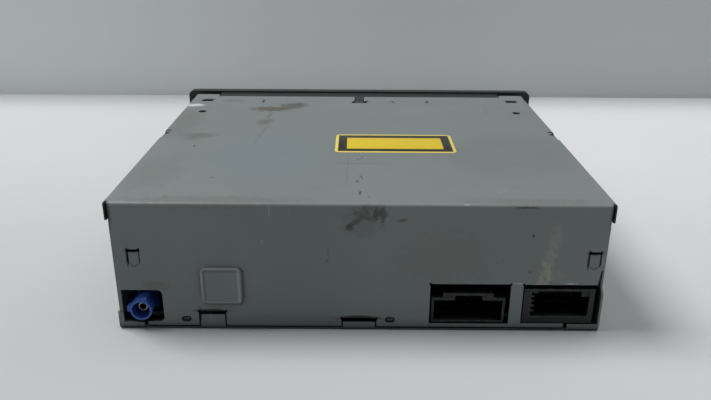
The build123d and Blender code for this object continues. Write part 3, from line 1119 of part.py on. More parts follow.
def clamper():
    body = post_z(DISC_TOP, DISC_TOP + 2.2, 0, SPINDLE_Y, CLAMPER_RADIUS, MANY_SIDES)
    body -= post_z(DISC_TOP - 1, DISC_TOP + HUB_RISE - DISC_THICKNESS + 0.4, 0, SPINDLE_Y, HUB_RADIUS + 0.7, MORE_SIDES)
    body += rod_z(DISC_TOP + 2.1, ARM_TOP + RUNNING + 0.1, 0, SPINDLE_Y, NECK_RADIUS)
    body += post_z(ARM_TOP + RUNNING, ARM_TOP + 1.2, 0, SPINDLE_Y, NECK_RADIUS + 3.5, MORE_SIDES)
    return raised(body)


def turntable():
    body = post_z(DISC_UNDER - 2.2, DISC_UNDER, 0, SPINDLE_Y, TURNTABLE_RADIUS, MANY_SIDES)
    hub = rod_z(DISC_UNDER - 0.1, DISC_UNDER + HUB_RISE, 0, SPINDLE_Y, HUB_RADIUS)
    body += chamfer(hub.faces().sort_by(Axis.Z)[-1].edges(), 0.7)
    low = TRAVERSE_TOP + 1.5
    body += post_z(low, DISC_UNDER - 2.1, 0, SPINDLE_Y, ROTOR_RADIUS, MANY_SIDES)
    body -= post_z(low - 1, DISC_UNDER - 3.2, 0, SPINDLE_Y, ROTOR_RADIUS - ROTOR_WALL, MANY_SIDES)
    return body + post_z(TRAVERSE_TOP + 0.3, DISC_UNDER - 3.1, 0, SPINDLE_Y, AXLE_RADIUS)


def spindle_motor():
    body = post_z(TRAVERSE_TOP, TRAVERSE_TOP + 1.0, 0, SPINDLE_Y, ROTOR_RADIUS, MORE_SIDES)
    body += post_z(TRAVERSE_TOP + 0.9, DISC_UNDER - 3.8, 0, SPINDLE_Y, 2.6)
    body += post_z(TRAVERSE_TOP + 1.8, DISC_UNDER - 4.4, 0, SPINDLE_Y, ROTOR_RADIUS - ROTOR_WALL - 1.2, MORE_SIDES)
    return body - post_z(TRAVERSE_TOP + 0.2, DISC_Z, 0, SPINDLE_Y, around(AXLE_RADIUS, FEW_SIDES))


def mount_places():
    return [(x, y) for x in (TRAVERSE_LEFT + 5, TRAVERSE_RIGHT - 6) for y in (TRAVERSE_REAR + 4, TRAVERSE_FRONT - 4)]


def traverse_frame():
    through = (TRAVERSE_Z - 1, TRAVERSE_TOP + 1)
    body = block(TRAVERSE_LEFT, TRAVERSE_RIGHT, TRAVERSE_REAR, TRAVERSE_FRONT, TRAVERSE_Z, TRAVERSE_TOP)
    body -= block(TRAVERSE_LEFT + 3, -ROTOR_RADIUS - 0.8, SPINDLE_Y - 17, SPINDLE_Y + 17, *through)
    body -= block(ROD_RIGHT + 1.5, ROD_RIGHT + SLED_MOTOR_LENGTH + 3, LEAD_Y - SLED_MOTOR_RADIUS - 0.4,
                  LEAD_Y + SLED_MOTOR_RADIUS + 0.4, *through)
    for x in (TRAVERSE_LEFT, ROD_RIGHT):
        body += block(x, x + 1.5, SPINDLE_Y - ROD_OFFSET - 4, SPINDLE_Y - ROD_OFFSET + 4, TRAVERSE_Z, ROD_Z + 2.4)
        body += block(x, x + 1.5, SPINDLE_Y + ROD_OFFSET - 3, LEAD_Y + 5, TRAVERSE_Z, ROD_Z + 2.4)
        body -= post_x(x - 1, x + 3, LEAD_Y, ROD_Z, around(AXLE_RADIUS, FEW_SIDES))
    return body


def traverse_mounts():
    return group(post_z(DECK_TOP, TRAVERSE_Z, x, y, 3.4) for x, y in mount_places())


def guide_rods():
    return group(post_x(ROD_LEFT, ROD_RIGHT, SPINDLE_Y + s * ROD_OFFSET, ROD_Z, ROD_RADIUS, MORE_SIDES) for s in (-1, 1))


def pickup_body():
    x = -LENS_INNER
    low = TRAVERSE_Z - 1.8
    top = DISC_UNDER - PICKUP_GAP
    under = TRAVERSE_TOP + SLIDING
    body = block(x - SLED_HALF, x + SLED_HALF, SPINDLE_Y - 15.5, SPINDLE_Y + 15.5, low, top)
    body += block(x - SLED_HALF, x + SLED_HALF, SPINDLE_Y + 13, LEAD_Y + 3, under, ROD_Z + 2.6)
    body += block(x - 4, x + 4, SPINDLE_Y - ROD_OFFSET - 3, SPINDLE_Y - 14, under, ROD_Z + 2.6)
    for y, radius in ((SPINDLE_Y + ROD_OFFSET, around(ROD_RADIUS, MORE_SIDES)),
                      (LEAD_Y, around(LEAD_RADIUS, MORE_SIDES, SLIDING))):
        body -= post_x(x - 20, x + 20, y, ROD_Z, radius, MORE_SIDES)
    body -= block(x - 5, x + 5, SPINDLE_Y - ROD_OFFSET - 4, SPINDLE_Y - ROD_OFFSET + ROD_RADIUS + SLIDING,
                  ROD_Z - ROD_RADIUS - RUNNING, ROD_Z + ROD_RADIUS + RUNNING)
    low = top - LENS_DEPTH - LENS_STROKE - SLIDING
    return body - post_z(low, top + 1, x, SPINDLE_Y, around(LENS_RADIUS, MORE_SIDES, SLIDING), MORE_SIDES)


def lens_holder():
    low = DISC_UNDER - PICKUP_GAP - LENS_DEPTH
    return post_z(low, DISC_UNDER - LENS_GAP, -LENS_INNER, SPINDLE_Y, LENS_RADIUS, MORE_SIDES)


def lead_screw():
    body = rod_x(ROD_LEFT + 0.2, ROD_RIGHT - 0.2, LEAD_Y, ROD_Z, LEAD_RADIUS)
    body += post_x(TRAVERSE_LEFT + 0.2, ROD_LEFT + 0.3, LEAD_Y, ROD_Z, AXLE_RADIUS)
    return body + post_x(ROD_RIGHT - 0.3, ROD_RIGHT + 5.0, LEAD_Y, ROD_Z, AXLE_RADIUS)


def sled_motor():
    start = ROD_RIGHT + 1.5
    body = post_x(start, start + SLED_MOTOR_LENGTH, LEAD_Y, ROD_Z, SLED_MOTOR_RADIUS, MORE_SIDES)
    return body - post_x(start - 1, start + 5, LEAD_Y, ROD_Z, around(AXLE_RADIUS, FEW_SIDES))


def sensor_lever_left():
    z = GUIDE_TOP + SLIDING
    reach, width = LEVER_REACH, 1.8
    beam = outline((-width, -width), (width, -width), (reach + width, reach - width / 2), (reach + width, reach + width),
                   (reach - width / 2, reach + width), (-width, width))
    body = post_z(z, z + 1.2, 0, 0, 3.6, MORE_SIDES) + extrude(Plane.XY.offset(z) * beam, amount=1.2)
    body += post_z(DISC_UNDER + 0.5, z + 0.1, reach, reach, LEVER_PIN)
    body -= post_z(z - 1, z + 2, 0, 0, around(LEVER_POST, MORE_SIDES), MORE_SIDES)
    return Pos(-LEVER_X, LEVER_Y, 0) * body


def sensor_lever_right():
    return mirror(sensor_lever_left(), Plane.YZ)


PIECES = {
    "top_cover": top_cover, "lower_tray": lower_tray, "front_plate": front_plate, "bezel": bezel,
    "slot_felts": slot_felts, "dust_flap": dust_flap, "flap_spring": flap_spring,
    "eject_button": eject_button, "tact_switch": tact_switch, "switch_plunger": switch_plunger,
    "front_board": front_board, "light_guide": light_guide,
    "main_board": main_board, "board_screws": board_screws, "processor": processor,
    "heat_spreader": heat_spreader, "memory_chips": memory_chips, "capacitors": capacitors,
    "power_coil": power_coil, "receiver_shield": receiver_shield, "turn_sensor": turn_sensor,
    "board_sockets": board_sockets, "pickup_ribbon": pickup_ribbon,
    "power_connector": power_connector, "power_pins": power_pins,
    "data_connector": data_connector, "data_pins": data_pins,
    "antenna_housing": antenna_housing, "antenna_shield": antenna_shield, "antenna_pin": antenna_pin,
    "deck_frame": deck_frame, "disc_guide": disc_guide, "suspension_posts": suspension_posts,
    "deck_dampers": deck_dampers, "damper_screws": damper_screws,
    "roller_shaft": roller_shaft, "roller_rubbers": roller_rubbers, "roller_bushes": roller_bushes,
    "roller_gear": roller_gear, "compound_gear": compound_gear, "motor_pinion": motor_pinion,
    "loading_motor": loading_motor, "mode_slider": mode_slider, "mode_pinion": mode_pinion,
    "mode_motor": mode_motor, "clamp_arm": clamp_arm, "clamp_pivot": clamp_pivot, "clamper": clamper,
    "turntable": turntable, "spindle_motor": spindle_motor, "traverse_frame": traverse_frame,
    "traverse_mounts": traverse_mounts, "guide_rods": guide_rods, "pickup_body": pickup_body,
    "lens_holder": lens_holder, "lead_screw": lead_screw, "sled_motor": sled_motor,
    "sensor_lever_left": sensor_lever_left, "sensor_lever_right": sensor_lever_right,
}

os.makedirs("parts", exist_ok=True)
to_middle = Pos(0, -(FACE_FRONT - ANTENNA_PROUD) / 2, BEZEL_PROUD)
for name, make in PIECES.items():
    export_step(to_middle * make(), f"parts/{name}.step")
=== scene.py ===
import bpy
import bmesh
import json
from math import cos, pi, radians, sin
from mathutils import Matrix, Vector
from mathutils.bvhtree import BVHTree

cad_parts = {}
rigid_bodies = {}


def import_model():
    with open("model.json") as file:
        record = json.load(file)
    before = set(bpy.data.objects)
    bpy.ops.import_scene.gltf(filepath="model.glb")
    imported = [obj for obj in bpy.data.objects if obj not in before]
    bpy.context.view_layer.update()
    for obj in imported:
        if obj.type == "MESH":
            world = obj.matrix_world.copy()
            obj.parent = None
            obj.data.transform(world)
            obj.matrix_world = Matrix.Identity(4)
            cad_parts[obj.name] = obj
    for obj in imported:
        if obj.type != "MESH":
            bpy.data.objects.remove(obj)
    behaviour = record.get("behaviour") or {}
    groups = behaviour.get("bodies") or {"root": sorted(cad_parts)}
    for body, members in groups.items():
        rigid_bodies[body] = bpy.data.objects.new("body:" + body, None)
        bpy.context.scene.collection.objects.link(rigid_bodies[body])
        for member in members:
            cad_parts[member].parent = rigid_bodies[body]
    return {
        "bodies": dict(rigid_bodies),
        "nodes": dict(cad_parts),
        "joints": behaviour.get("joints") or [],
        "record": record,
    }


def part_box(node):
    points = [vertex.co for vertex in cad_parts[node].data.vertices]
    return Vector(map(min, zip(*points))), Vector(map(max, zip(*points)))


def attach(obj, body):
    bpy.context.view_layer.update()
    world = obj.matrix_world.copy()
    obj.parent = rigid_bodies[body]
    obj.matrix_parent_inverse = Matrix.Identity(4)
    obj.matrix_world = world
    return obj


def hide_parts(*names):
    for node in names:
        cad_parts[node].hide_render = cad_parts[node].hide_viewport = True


mm = 0.001
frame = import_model()
nodes = frame["nodes"]
record = frame["record"]
slotOf = {part["node"]: part["material_slot"] for part in record["subparts"]}
bodyOf = {node: body for body, members in record["behaviour"]["bodies"].items() for node in members}
jointOf = {joint["name"]: joint for joint in frame["joints"]}
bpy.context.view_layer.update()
print("frame loaded, nodes:", len(nodes))

rearY = -83.15 * mm  # outside of the rear wall
topZ = 51.2 * mm  # top of the cover
boardZ = 5.4 * mm  # upper side of the main board
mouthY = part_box("power_connector")[0].y  # plane where the rear sockets open


# Helpers for objects and nodes

def linked(name, data):
    obj = bpy.data.objects.new(name, data)
    bpy.context.collection.objects.link(obj)
    return obj


def feed(tree, node, key, value):
    if isinstance(value, bpy.types.NodeSocket):
        tree.links.new(value, node.inputs[key])
    else:
        node.inputs[key].default_value = value


def put(tree, kind, inputs=None, **settings):
    node = tree.nodes.new(kind)
    for key, value in settings.items():
        setattr(node, key, value)
    for key, value in (inputs or {}).items():
        feed(tree, node, key, value)
    return node


def placed(tree, group, inputs):
    return put(tree, "ShaderNodeGroup", inputs, node_tree=group).outputs


def mixed(tree, factor, first, second, blend="MIX"):
    node = put(tree, "ShaderNodeMix", data_type="RGBA", blend_type=blend)
    for key, value in ((0, factor), (6, first), (7, second)):
        feed(tree, node, key, (*value, 1) if isinstance(value, tuple) else value)
    return node.outputs[2]


def maths(tree, operation, first, second=None, clamp=False):
    node = put(tree, "ShaderNodeMath", {0: first}, operation=operation, use_clamp=clamp)
    if second is not None:
        feed(tree, node, 1, second)
    return node.outputs[0]


def times(tree, first, second, clamp=False):
    return maths(tree, "MULTIPLY", first, second, clamp)


def vectors(tree, operation, first, second=None):
    node = put(tree, "ShaderNodeVectorMath", {0: first}, operation=operation)
    if second is not None:
        feed(tree, node, 1, second)
    return node.outputs["Value" if operation in ("LENGTH", "DOT_PRODUCT") else "Vector"]


def xyz(tree, x=0.0, y=0.0, z=0.0):
    return put(tree, "ShaderNodeCombineXYZ", {0: x, 1: y, 2: z}).outputs[0]


def noise(tree, vector, scale, detail, rough=0.5):
    inputs = {"Vector": vector, "Scale": scale, "Detail": detail, "Roughness": rough}
    return put(tree, "ShaderNodeTexNoise", inputs).outputs[0]


def spread(tree, value, low, high, toLow=0.0, toHigh=1.0, smooth=False):
    return put(tree, "ShaderNodeMapRange", {0: value, 1: low, 2: high, 3: toLow, 4: toHigh},
               interpolation_type="SMOOTHSTEP" if smooth else "LINEAR").outputs[0]


socketKinds = {float: "Float", int: "Int", tuple: "Vector"}


def newGroup(name, inputs, outputs, kind="ShaderNodeTree"):  # each socket by its kind or its default value
    group = bpy.data.node_groups.new(name, kind)
    for way, sockets in (("INPUT", inputs), ("OUTPUT", outputs)):
        for label, value in sockets.items():
            what = value if isinstance(value, str) else socketKinds[type(value)]
            socket = group.interface.new_socket(name=label, in_out=way, socket_type="NodeSocket" + what)
            if what != value:
                socket.default_value = value
    return group, group.nodes.new("NodeGroupInput").outputs, group.nodes.new("NodeGroupOutput").inputs


def closed(group, result, **values):
    for label, value in values.items():
        group.links.new(value, result[label])
    return group


# Effects that several finishes share

def makeSurfaceGrain():
    inputs = {"Vector": "Vector", "Stretch": (1, 1, 1), "Grain": 2500.0, "Cloud": 25.0}
    group, given, result = newGroup("surfaceGrain", inputs, {"Fine": "Float", "Broad": "Float"})
    stretched = vectors(group, "MULTIPLY", given["Vector"], given["Stretch"])
    broad = noise(group, given["Vector"], given["Cloud"], 6.0, 0.6)
    return closed(group, result, Fine=noise(group, stretched, given["Grain"], 3.0),
                  Broad=spread(group, broad, 0.3, 0.7))


def makeEdgeWear():
    inputs = {"Vector": "Vector", "Width": 0.0003, "Breakup": 600.0}
    group, given, result = newGroup("edgeWear", inputs, {"Mask": "Float"})
    rounded = put(group, "ShaderNodeBevel", {"Radius": given["Width"]}, samples=4).outputs[0]
    flat = put(group, "ShaderNodeNewGeometry").outputs["True Normal"]
    edge = spread(group, vectors(group, "DOT_PRODUCT", rounded, flat), 0.99, 0.8)
    broken = spread(group, noise(group, given["Vector"], given["Breakup"], 4.0), 0.38, 0.62)
    return closed(group, result, Mask=times(group, edge, broken, True))


# One mark's mask, used for stains and dirt and also for painted shade in gaps and slots
def makeStainAndShade():
    inputs = {"Vector": "Vector", "Centre": (0, 0, 0), "Turn": (0, 0, 0), "Reach": (0.01, 0.01, 0.01),
              "Ragged": 0.5, "Strength": 0.5}
    group, given, result = newGroup("stain", inputs, {"Mask": "Float"})
    off = vectors(group, "SUBTRACT", given["Vector"], given["Centre"])
    rotated = put(group, "ShaderNodeVectorRotate", {"Vector": off, "Rotation": given["Turn"]},
                  rotation_type="EULER_XYZ").outputs[0]
    far = vectors(group, "LENGTH", vectors(group, "DIVIDE", rotated, given["Reach"]))
    rough = maths(group, "SUBTRACT", noise(group, given["Vector"], 420.0, 5.0, 0.7), 0.5)
    ragged = times(group, times(group, rough, given["Ragged"]), 3.0)
    mask = spread(group, maths(group, "ADD", far, ragged), 1.05, 0.45, smooth=True)
    return closed(group, result, Mask=times(group, mask, given["Strength"], True))


def makeHollowShade():
    inputs = {"Colour": "Color", "Reach": 0.008, "Depth": 2.0}
    group, given, result = newGroup("hollowShade", inputs, {"Colour": "Color"})
    light = put(group, "ShaderNodeAmbientOcclusion", {"Distance": given["Reach"]}, samples=8).outputs["AO"]
    share = maths(group, "POWER", light, given["Depth"])
    return closed(group, result, Colour=mixed(group, share, (0.0015, 0.0015, 0.0018), given["Colour"]))


def makePadRim():
    inputs = {"Vector": "Vector", "Centre": (0, 0, 0), "Half": (0.01, 0.01, 0.01), "Corner": 0.0015,
              "Width": 0.0006}
    group, given, result = newGroup("padRim", inputs, {"Mask": "Float"})
    around = vectors(group, "ABSOLUTE", vectors(group, "SUBTRACT", given["Vector"], given["Centre"]))
    outside = vectors(group, "MAXIMUM", vectors(group, "SUBTRACT", around, given["Half"]), (0, 0, 0))
    off = maths(group, "SUBTRACT", vectors(group, "LENGTH", outside), given["Corner"])
    line = spread(group, maths(group, "ABSOLUTE", off), given["Width"], 0.0, smooth=True)
    return closed(group, result, Mask=line)


def makeBoardTraces():
    inputs = {"Vector": "Vector", "Scale": 120.0}
    group, given, result = newGroup("boardTraces", inputs, {"Copper": "Float", "Pads": "Float"})
    lines = put(group, "ShaderNodeTexBrick", {
        "Vector": given["Vector"], "Scale": given["Scale"], "Mortar Size": 0.03, "Mortar Smooth": 0.1,
        "Brick Width": 1.3, "Row Height": 0.3}, offset=0.37).outputs["Fac"]
    cells = put(group, "ShaderNodeTexVoronoi", {"Vector": given["Vector"], "Scale": 260.0}, feature="F1")
    shown = spread(group, noise(group, given["Vector"], 90.0, 2.0), 0.42, 0.5)
    dots = spread(group, cells.outputs["Distance"], 0.16, 0.12)
    return closed(group, result, Copper=times(group, lines, shown, True),
                  Pads=times(group, dots, shown, True))


surfaceGrain = makeSurfaceGrain()
edgeWear = makeEdgeWear()
stain = makeStainAndShade()
hollowShade = makeHollowShade()
padRim = makePadRim()
boardTraces = makeBoardTraces()
print("shared effects ready")


# Finishes: wear is the edge's width in metres and its colour, inputs go to the shader as they are

finishLooks = {
    "bezel_plastic": {"colour": (0.022, 0.025, 0.024), "darker": (0.016, 0.018, 0.018), "rough": (0.42, 0.55),
                      "grain": 3200.0, "bump": 0.22, "wear": (0.0003, (0.1, 0.105, 0.1))},
    "black_plastic": {"colour": (0.016, 0.017, 0.018), "darker": (0.01, 0.011, 0.012), "rough": (0.38, 0.55),
                      "grain": 2600.0, "bump": 0.12, "wear": (0.00018, (0.07, 0.07, 0.07)), "hollow": 2.5},
    "button_plastic": {"colour": (0.03, 0.032, 0.034), "darker": (0.022, 0.024, 0.025),
                       "rough": (0.35, 0.48), "grain": 3000.0, "bump": 0.1,
                       "wear": (0.0002, (0.12, 0.12, 0.12))},
    "blue_plastic": {"colour": (0.035, 0.105, 0.42), "darker": (0.022, 0.07, 0.32), "rough": (0.38, 0.52),
                     "grain": 2400.0, "bump": 0.1, "wear": (0.0002, (0.16, 0.26, 0.55))},
    "felt": {"colour": (0.014, 0.014, 0.015), "darker": (0.006, 0.006, 0.007), "rough": (0.9, 1.0),
             "grain": 5200.0, "bump": 0.9, "inputs": {"Sheen Weight": 0.4}},
    "chip_black": {"colour": (0.02, 0.02, 0.021), "darker": (0.013, 0.013, 0.014), "rough": (0.5, 0.65),
                   "grain": 3800.0, "bump": 0.25},
    "bright_steel": {"colour": (0.46, 0.46, 0.45), "darker": (0.34, 0.34, 0.34), "rough": (0.34, 0.46),
                     "grain": 900.0, "stretch": (0.15, 3.0, 3.0), "bump": 0.06,
                     "wear": (0.00015, (0.62, 0.62, 0.62)), "inputs": {"Metallic": 1.0}},
    "aluminium": {"colour": (0.62, 0.63, 0.65), "darker": (0.5, 0.51, 0.53), "rough": (0.32, 0.45),
                  "grain": 1500.0, "bump": 0.12, "wear": (0.00015, (0.75, 0.76, 0.78)),
                  "inputs": {"Metallic": 1.0}},
    "gold_plate": {"colour": (0.1, 0.085, 0.05), "darker": (0.06, 0.05, 0.035), "rough": (0.4, 0.55),
                   "grain": 2000.0, "bump": 0.05, "hollow": 3.0, "inputs": {"Metallic": 0.9}},
    "rubber": {"colour": (0.02, 0.02, 0.021), "darker": (0.012, 0.012, 0.012), "rough": (0.72, 0.9),
               "grain": 2800.0, "bump": 0.35},
    "gear_plastic": {"colour": (0.6, 0.585, 0.53), "darker": (0.52, 0.5, 0.44), "rough": (0.42, 0.55),
                     "grain": 1800.0, "bump": 0.06, "wear": (0.0001, (0.68, 0.67, 0.62)),
                     "inputs": {"Subsurface Weight": 0.08, "Subsurface Scale": 0.001}},
    "clear_plastic": {"colour": (0.72, 0.7, 0.67), "darker": (0.62, 0.6, 0.58), "rough": (0.18, 0.3),
                      "grain": 1500.0, "cloud": 200.0, "bump": 0.05,
                      "inputs": {"Transmission Weight": 0.6, "IOR": 1.49}},
}
# the sockets turn black deeper inside their mouths: painted shade
socketLook = {"colour": (0.04, 0.042, 0.043), "darker": (0.024, 0.026, 0.027), "rough": (0.36, 0.5),
              "grain": 2200.0, "bump": 0.16, "wear": (0.0004, (0.26, 0.26, 0.25)), "breakup": 900.0,
              "hollow": 1.8, "mouth": (0.8, 2.6), "inputs": {"Specular IOR Level": 0.2}}
# The contacts are near black: painted shade for the deep sockets they sit in
shadedPinLook = {"colour": (0.03, 0.027, 0.02), "darker": (0.018, 0.016, 0.012), "rough": (0.6, 0.75),
           "grain": 2000.0, "bump": 0.05, "hollow": 3.0, "inputs": {"Specular IOR Level": 0.08}}
lensLook = {"colour": (0.16, 0.2, 0.34), "darker": (0.1, 0.14, 0.26), "rough": (0.03, 0.07), "grain": 700.0,
            "cloud": 300.0, "inputs": {"Coat Weight": 0.8}}


def newMaterial(name):
    mat = bpy.data.materials.new(name)
    mat.use_nodes = True
    return mat, mat.node_tree, put(mat.node_tree, "ShaderNodeTexCoord").outputs["Object"]


def startFinish(name, look):
    mat, tree, position = newMaterial(name)
    grain = placed(tree, surfaceGrain, {"Vector": position, "Stretch": look.get("stretch", (1, 1, 1)),
                                        "Grain": look["grain"], "Cloud": look.get("cloud", 40.0)})
    return mat, tree, position, grain


def clouded(tree, grain, look):
    return mixed(tree, grain["Broad"], look["darker"], look["colour"])


def fineRough(tree, grain, look):
    return spread(tree, grain["Fine"], 0.3, 0.7, *look["rough"])


def endFinish(mat, look, colour, rough, height=None):
    tree = mat.node_tree
    inputs = {"Base Color": colour, "Roughness": rough, **look.get("inputs", {})}
    if "bump" in look:
        relief = {"Height": height, "Strength": look["bump"], "Distance": look.get("depth", 0.0001)}
        inputs["Normal"] = put(tree, "ShaderNodeBump", relief).outputs[0]
    for key, value in inputs.items():
        feed(tree, tree.nodes["Principled BSDF"], key, value)
    return mat


def grainedFinish(name, look):
    mat, tree, position, grain = startFinish(name, look)
    colour, rough = clouded(tree, grain, look), fineRough(tree, grain, look)
    if "wear" in look:
        width, worn = look["wear"]
        edge = {"Vector": position, "Width": width, "Breakup": look.get("breakup", 600.0)}
        colour = mixed(tree, placed(tree, edgeWear, edge)["Mask"], colour, worn)
    if "hollow" in look:
        colour = placed(tree, hollowShade, {"Colour": colour, "Depth": look["hollow"]})["Colour"]
    if "mouth" in look:  # painted shade: black behind these depths, in mm, inside the sockets
        near, deep = [mouthY + depth * mm for depth in look["mouth"]]
        innerShade = spread(tree, put(tree, "ShaderNodeSeparateXYZ", {0: position}).outputs[1], near, deep)
        colour = mixed(tree, innerShade, colour, (0.0012, 0.0012, 0.0014))
        rough = maths(tree, "MAXIMUM", rough, innerShade)
    return endFinish(mat, look, colour, rough, grain["Fine"])


# Marks on the case, dirt, scuffs and scratches and also painted shade in gaps and slots: place and half size
# in mm, turn in degrees, colour, strength, raggedness

# soot also colours the painted shade in gaps and slots, pale also colours the painted highlight on the
# pressed square
brown, sootAndShade, scuffAndHighlight = (0.075, 0.062, 0.046), (0.022, 0.021, 0.02), (0.62, 0.64, 0.63)
beige, bluish = (0.4, 0.37, 0.3), (0.175, 0.215, 0.235)
topMarks = [
    (-45.0, 44.0, 12.0, 6.0, 4, brown, 0.72, 0.5), (-34.0, 50.5, 9.0, 7.5, -22, brown, 0.66, 0.5),
    (-31.0, 55.0, 2.2, 2.0, 0, sootAndShade, 0.35, 0.6), (-44.2, 32.0, 1.3, 9.0, 4, brown, 0.34, 0.4),
    (-45.0, 20.0, 5.0, 6.0, 8, brown, 0.45, 0.7), (-44.6, -4.0, 1.0, 20.0, 4, brown, 0.28, 0.4),
    (-85.0, 51.0, 6.0, 3.4, 0, scuffAndHighlight, 0.85, 0.6), (-71.0, -3.0, 9.0, 5.0, -10, brown, 0.38, 0.5),
    # the sharp soot marks at (-50.5, 60.4), (17.8, 59.5) and (35.7, 60.4) are painted shade in slots by the
    # cover's front edge
    (-74.0, -9.0, 5.0, 2.0, 0, brown, 0.22, 0.6), (-50.5, 60.4, 0.9, 4.2, 0, sootAndShade, 0.95, 0.05),
    (17.8, 59.5, 0.8, 3.8, -14, sootAndShade, 0.8, 0.1), (15.8, 58.0, 1.3, 1.2, 20, sootAndShade, 0.35, 0.5),
    (35.7, 60.4, 0.9, 4.2, 10, sootAndShade, 0.85, 0.1), (37.2, 56.8, 1.4, 0.5, -20, sootAndShade, 0.55, 0.3),
    (-70.5, -18.7, 0.7, 1.6, 0, sootAndShade, 0.7, 0.4), (-55.5, -57.6, 0.9, 0.8, 30, sootAndShade, 0.7, 0.4),
    (-48.4, -66.5, 0.4, 0.5, 0, sootAndShade, 0.5, 0.3), (-68.2, -77.7, 0.5, 0.5, 0, sootAndShade, 0.4, 0.3),
    (-75.2, -74.9, 0.5, 0.5, 0, sootAndShade, 0.35, 0.3), (0.9, -33.0, 0.35, 2.6, 18, sootAndShade, 0.6, 0.3),
    (-0.7, -35.4, 0.5, 1.4, -20, sootAndShade, 0.5, 0.3), (0.6, -56.0, 0.45, 2.8, -12, sootAndShade, 0.75, 0.4),
    (-0.9, -60.8, 0.9, 1.5, 30, sootAndShade, 0.65, 0.5), (0.1, -72.6, 0.6, 2.6, 4, sootAndShade, 0.8, 0.4),
    (3.2, -76.4, 0.5, 0.6, 0, sootAndShade, 0.65, 0.3), (-4.8, -48.0, 0.3, 21.0, 1, brown, 0.3, 0.2),
    (0.5, -40.3, 17.0, 0.35, 1, brown, 0.42, 0.15), (51.0, -70.8, 0.35, 3.8, 50, scuffAndHighlight, 0.14, 0.3),
    (57.0, -66.0, 0.3, 5.0, 55, sootAndShade, 0.22, 0.3), (60.0, -28.0, 34.0, 36.0, 0, brown, 0.1, 0.3),
    (-38.0, -30.0, 30.0, 42.0, 0, bluish, 0.55, 0.4), (30.0, 10.0, 26.0, 30.0, 0, bluish, 0.28, 0.4),
    (64.0, 42.0, 0.3, 16.0, 4, sootAndShade, 0.16, 0.3), (-66.0, 60.5, 8.0, 3.5, 0, brown, 0.3, 0.4),
    # painted shade in the gaps at the middle of the cover's front edge; the next line is painted shadow
    # between its front corners and the bezel
    (-2.4, 60.6, 1.6, 2.2, 0, sootAndShade, 0.97, 0.2), (3.6, 60.7, 1.6, 2.2, 0, sootAndShade, 0.97, 0.2),
    (-79.9, 63.0, 4.4, 2.4, -8, sootAndShade, 0.95, 0.1), (80.6, 63.1, 4.4, 2.0, 0, sootAndShade, 0.9, 0.1),
    # painted shade thickening the dark outlines at the cover's sides
    (-87.6, 0.8, 2.4, 2.6, 0, sootAndShade, 0.95, 0.1), (87.6, 1.2, 2.4, 2.6, 0, sootAndShade, 0.95, 0.1),
    (-82.0, 20.0, 9.0, 34.0, 0, brown, 0.16, 0.7), (-78.0, -52.0, 12.0, 26.0, 0, brown, 0.12, 0.7),
    (-52.0, -80.0, 40.0, 5.0, 0, brown, 0.2, 0.6), (60.0, -80.0, 30.0, 3.5, 0, brown, 0.16, 0.6),
]
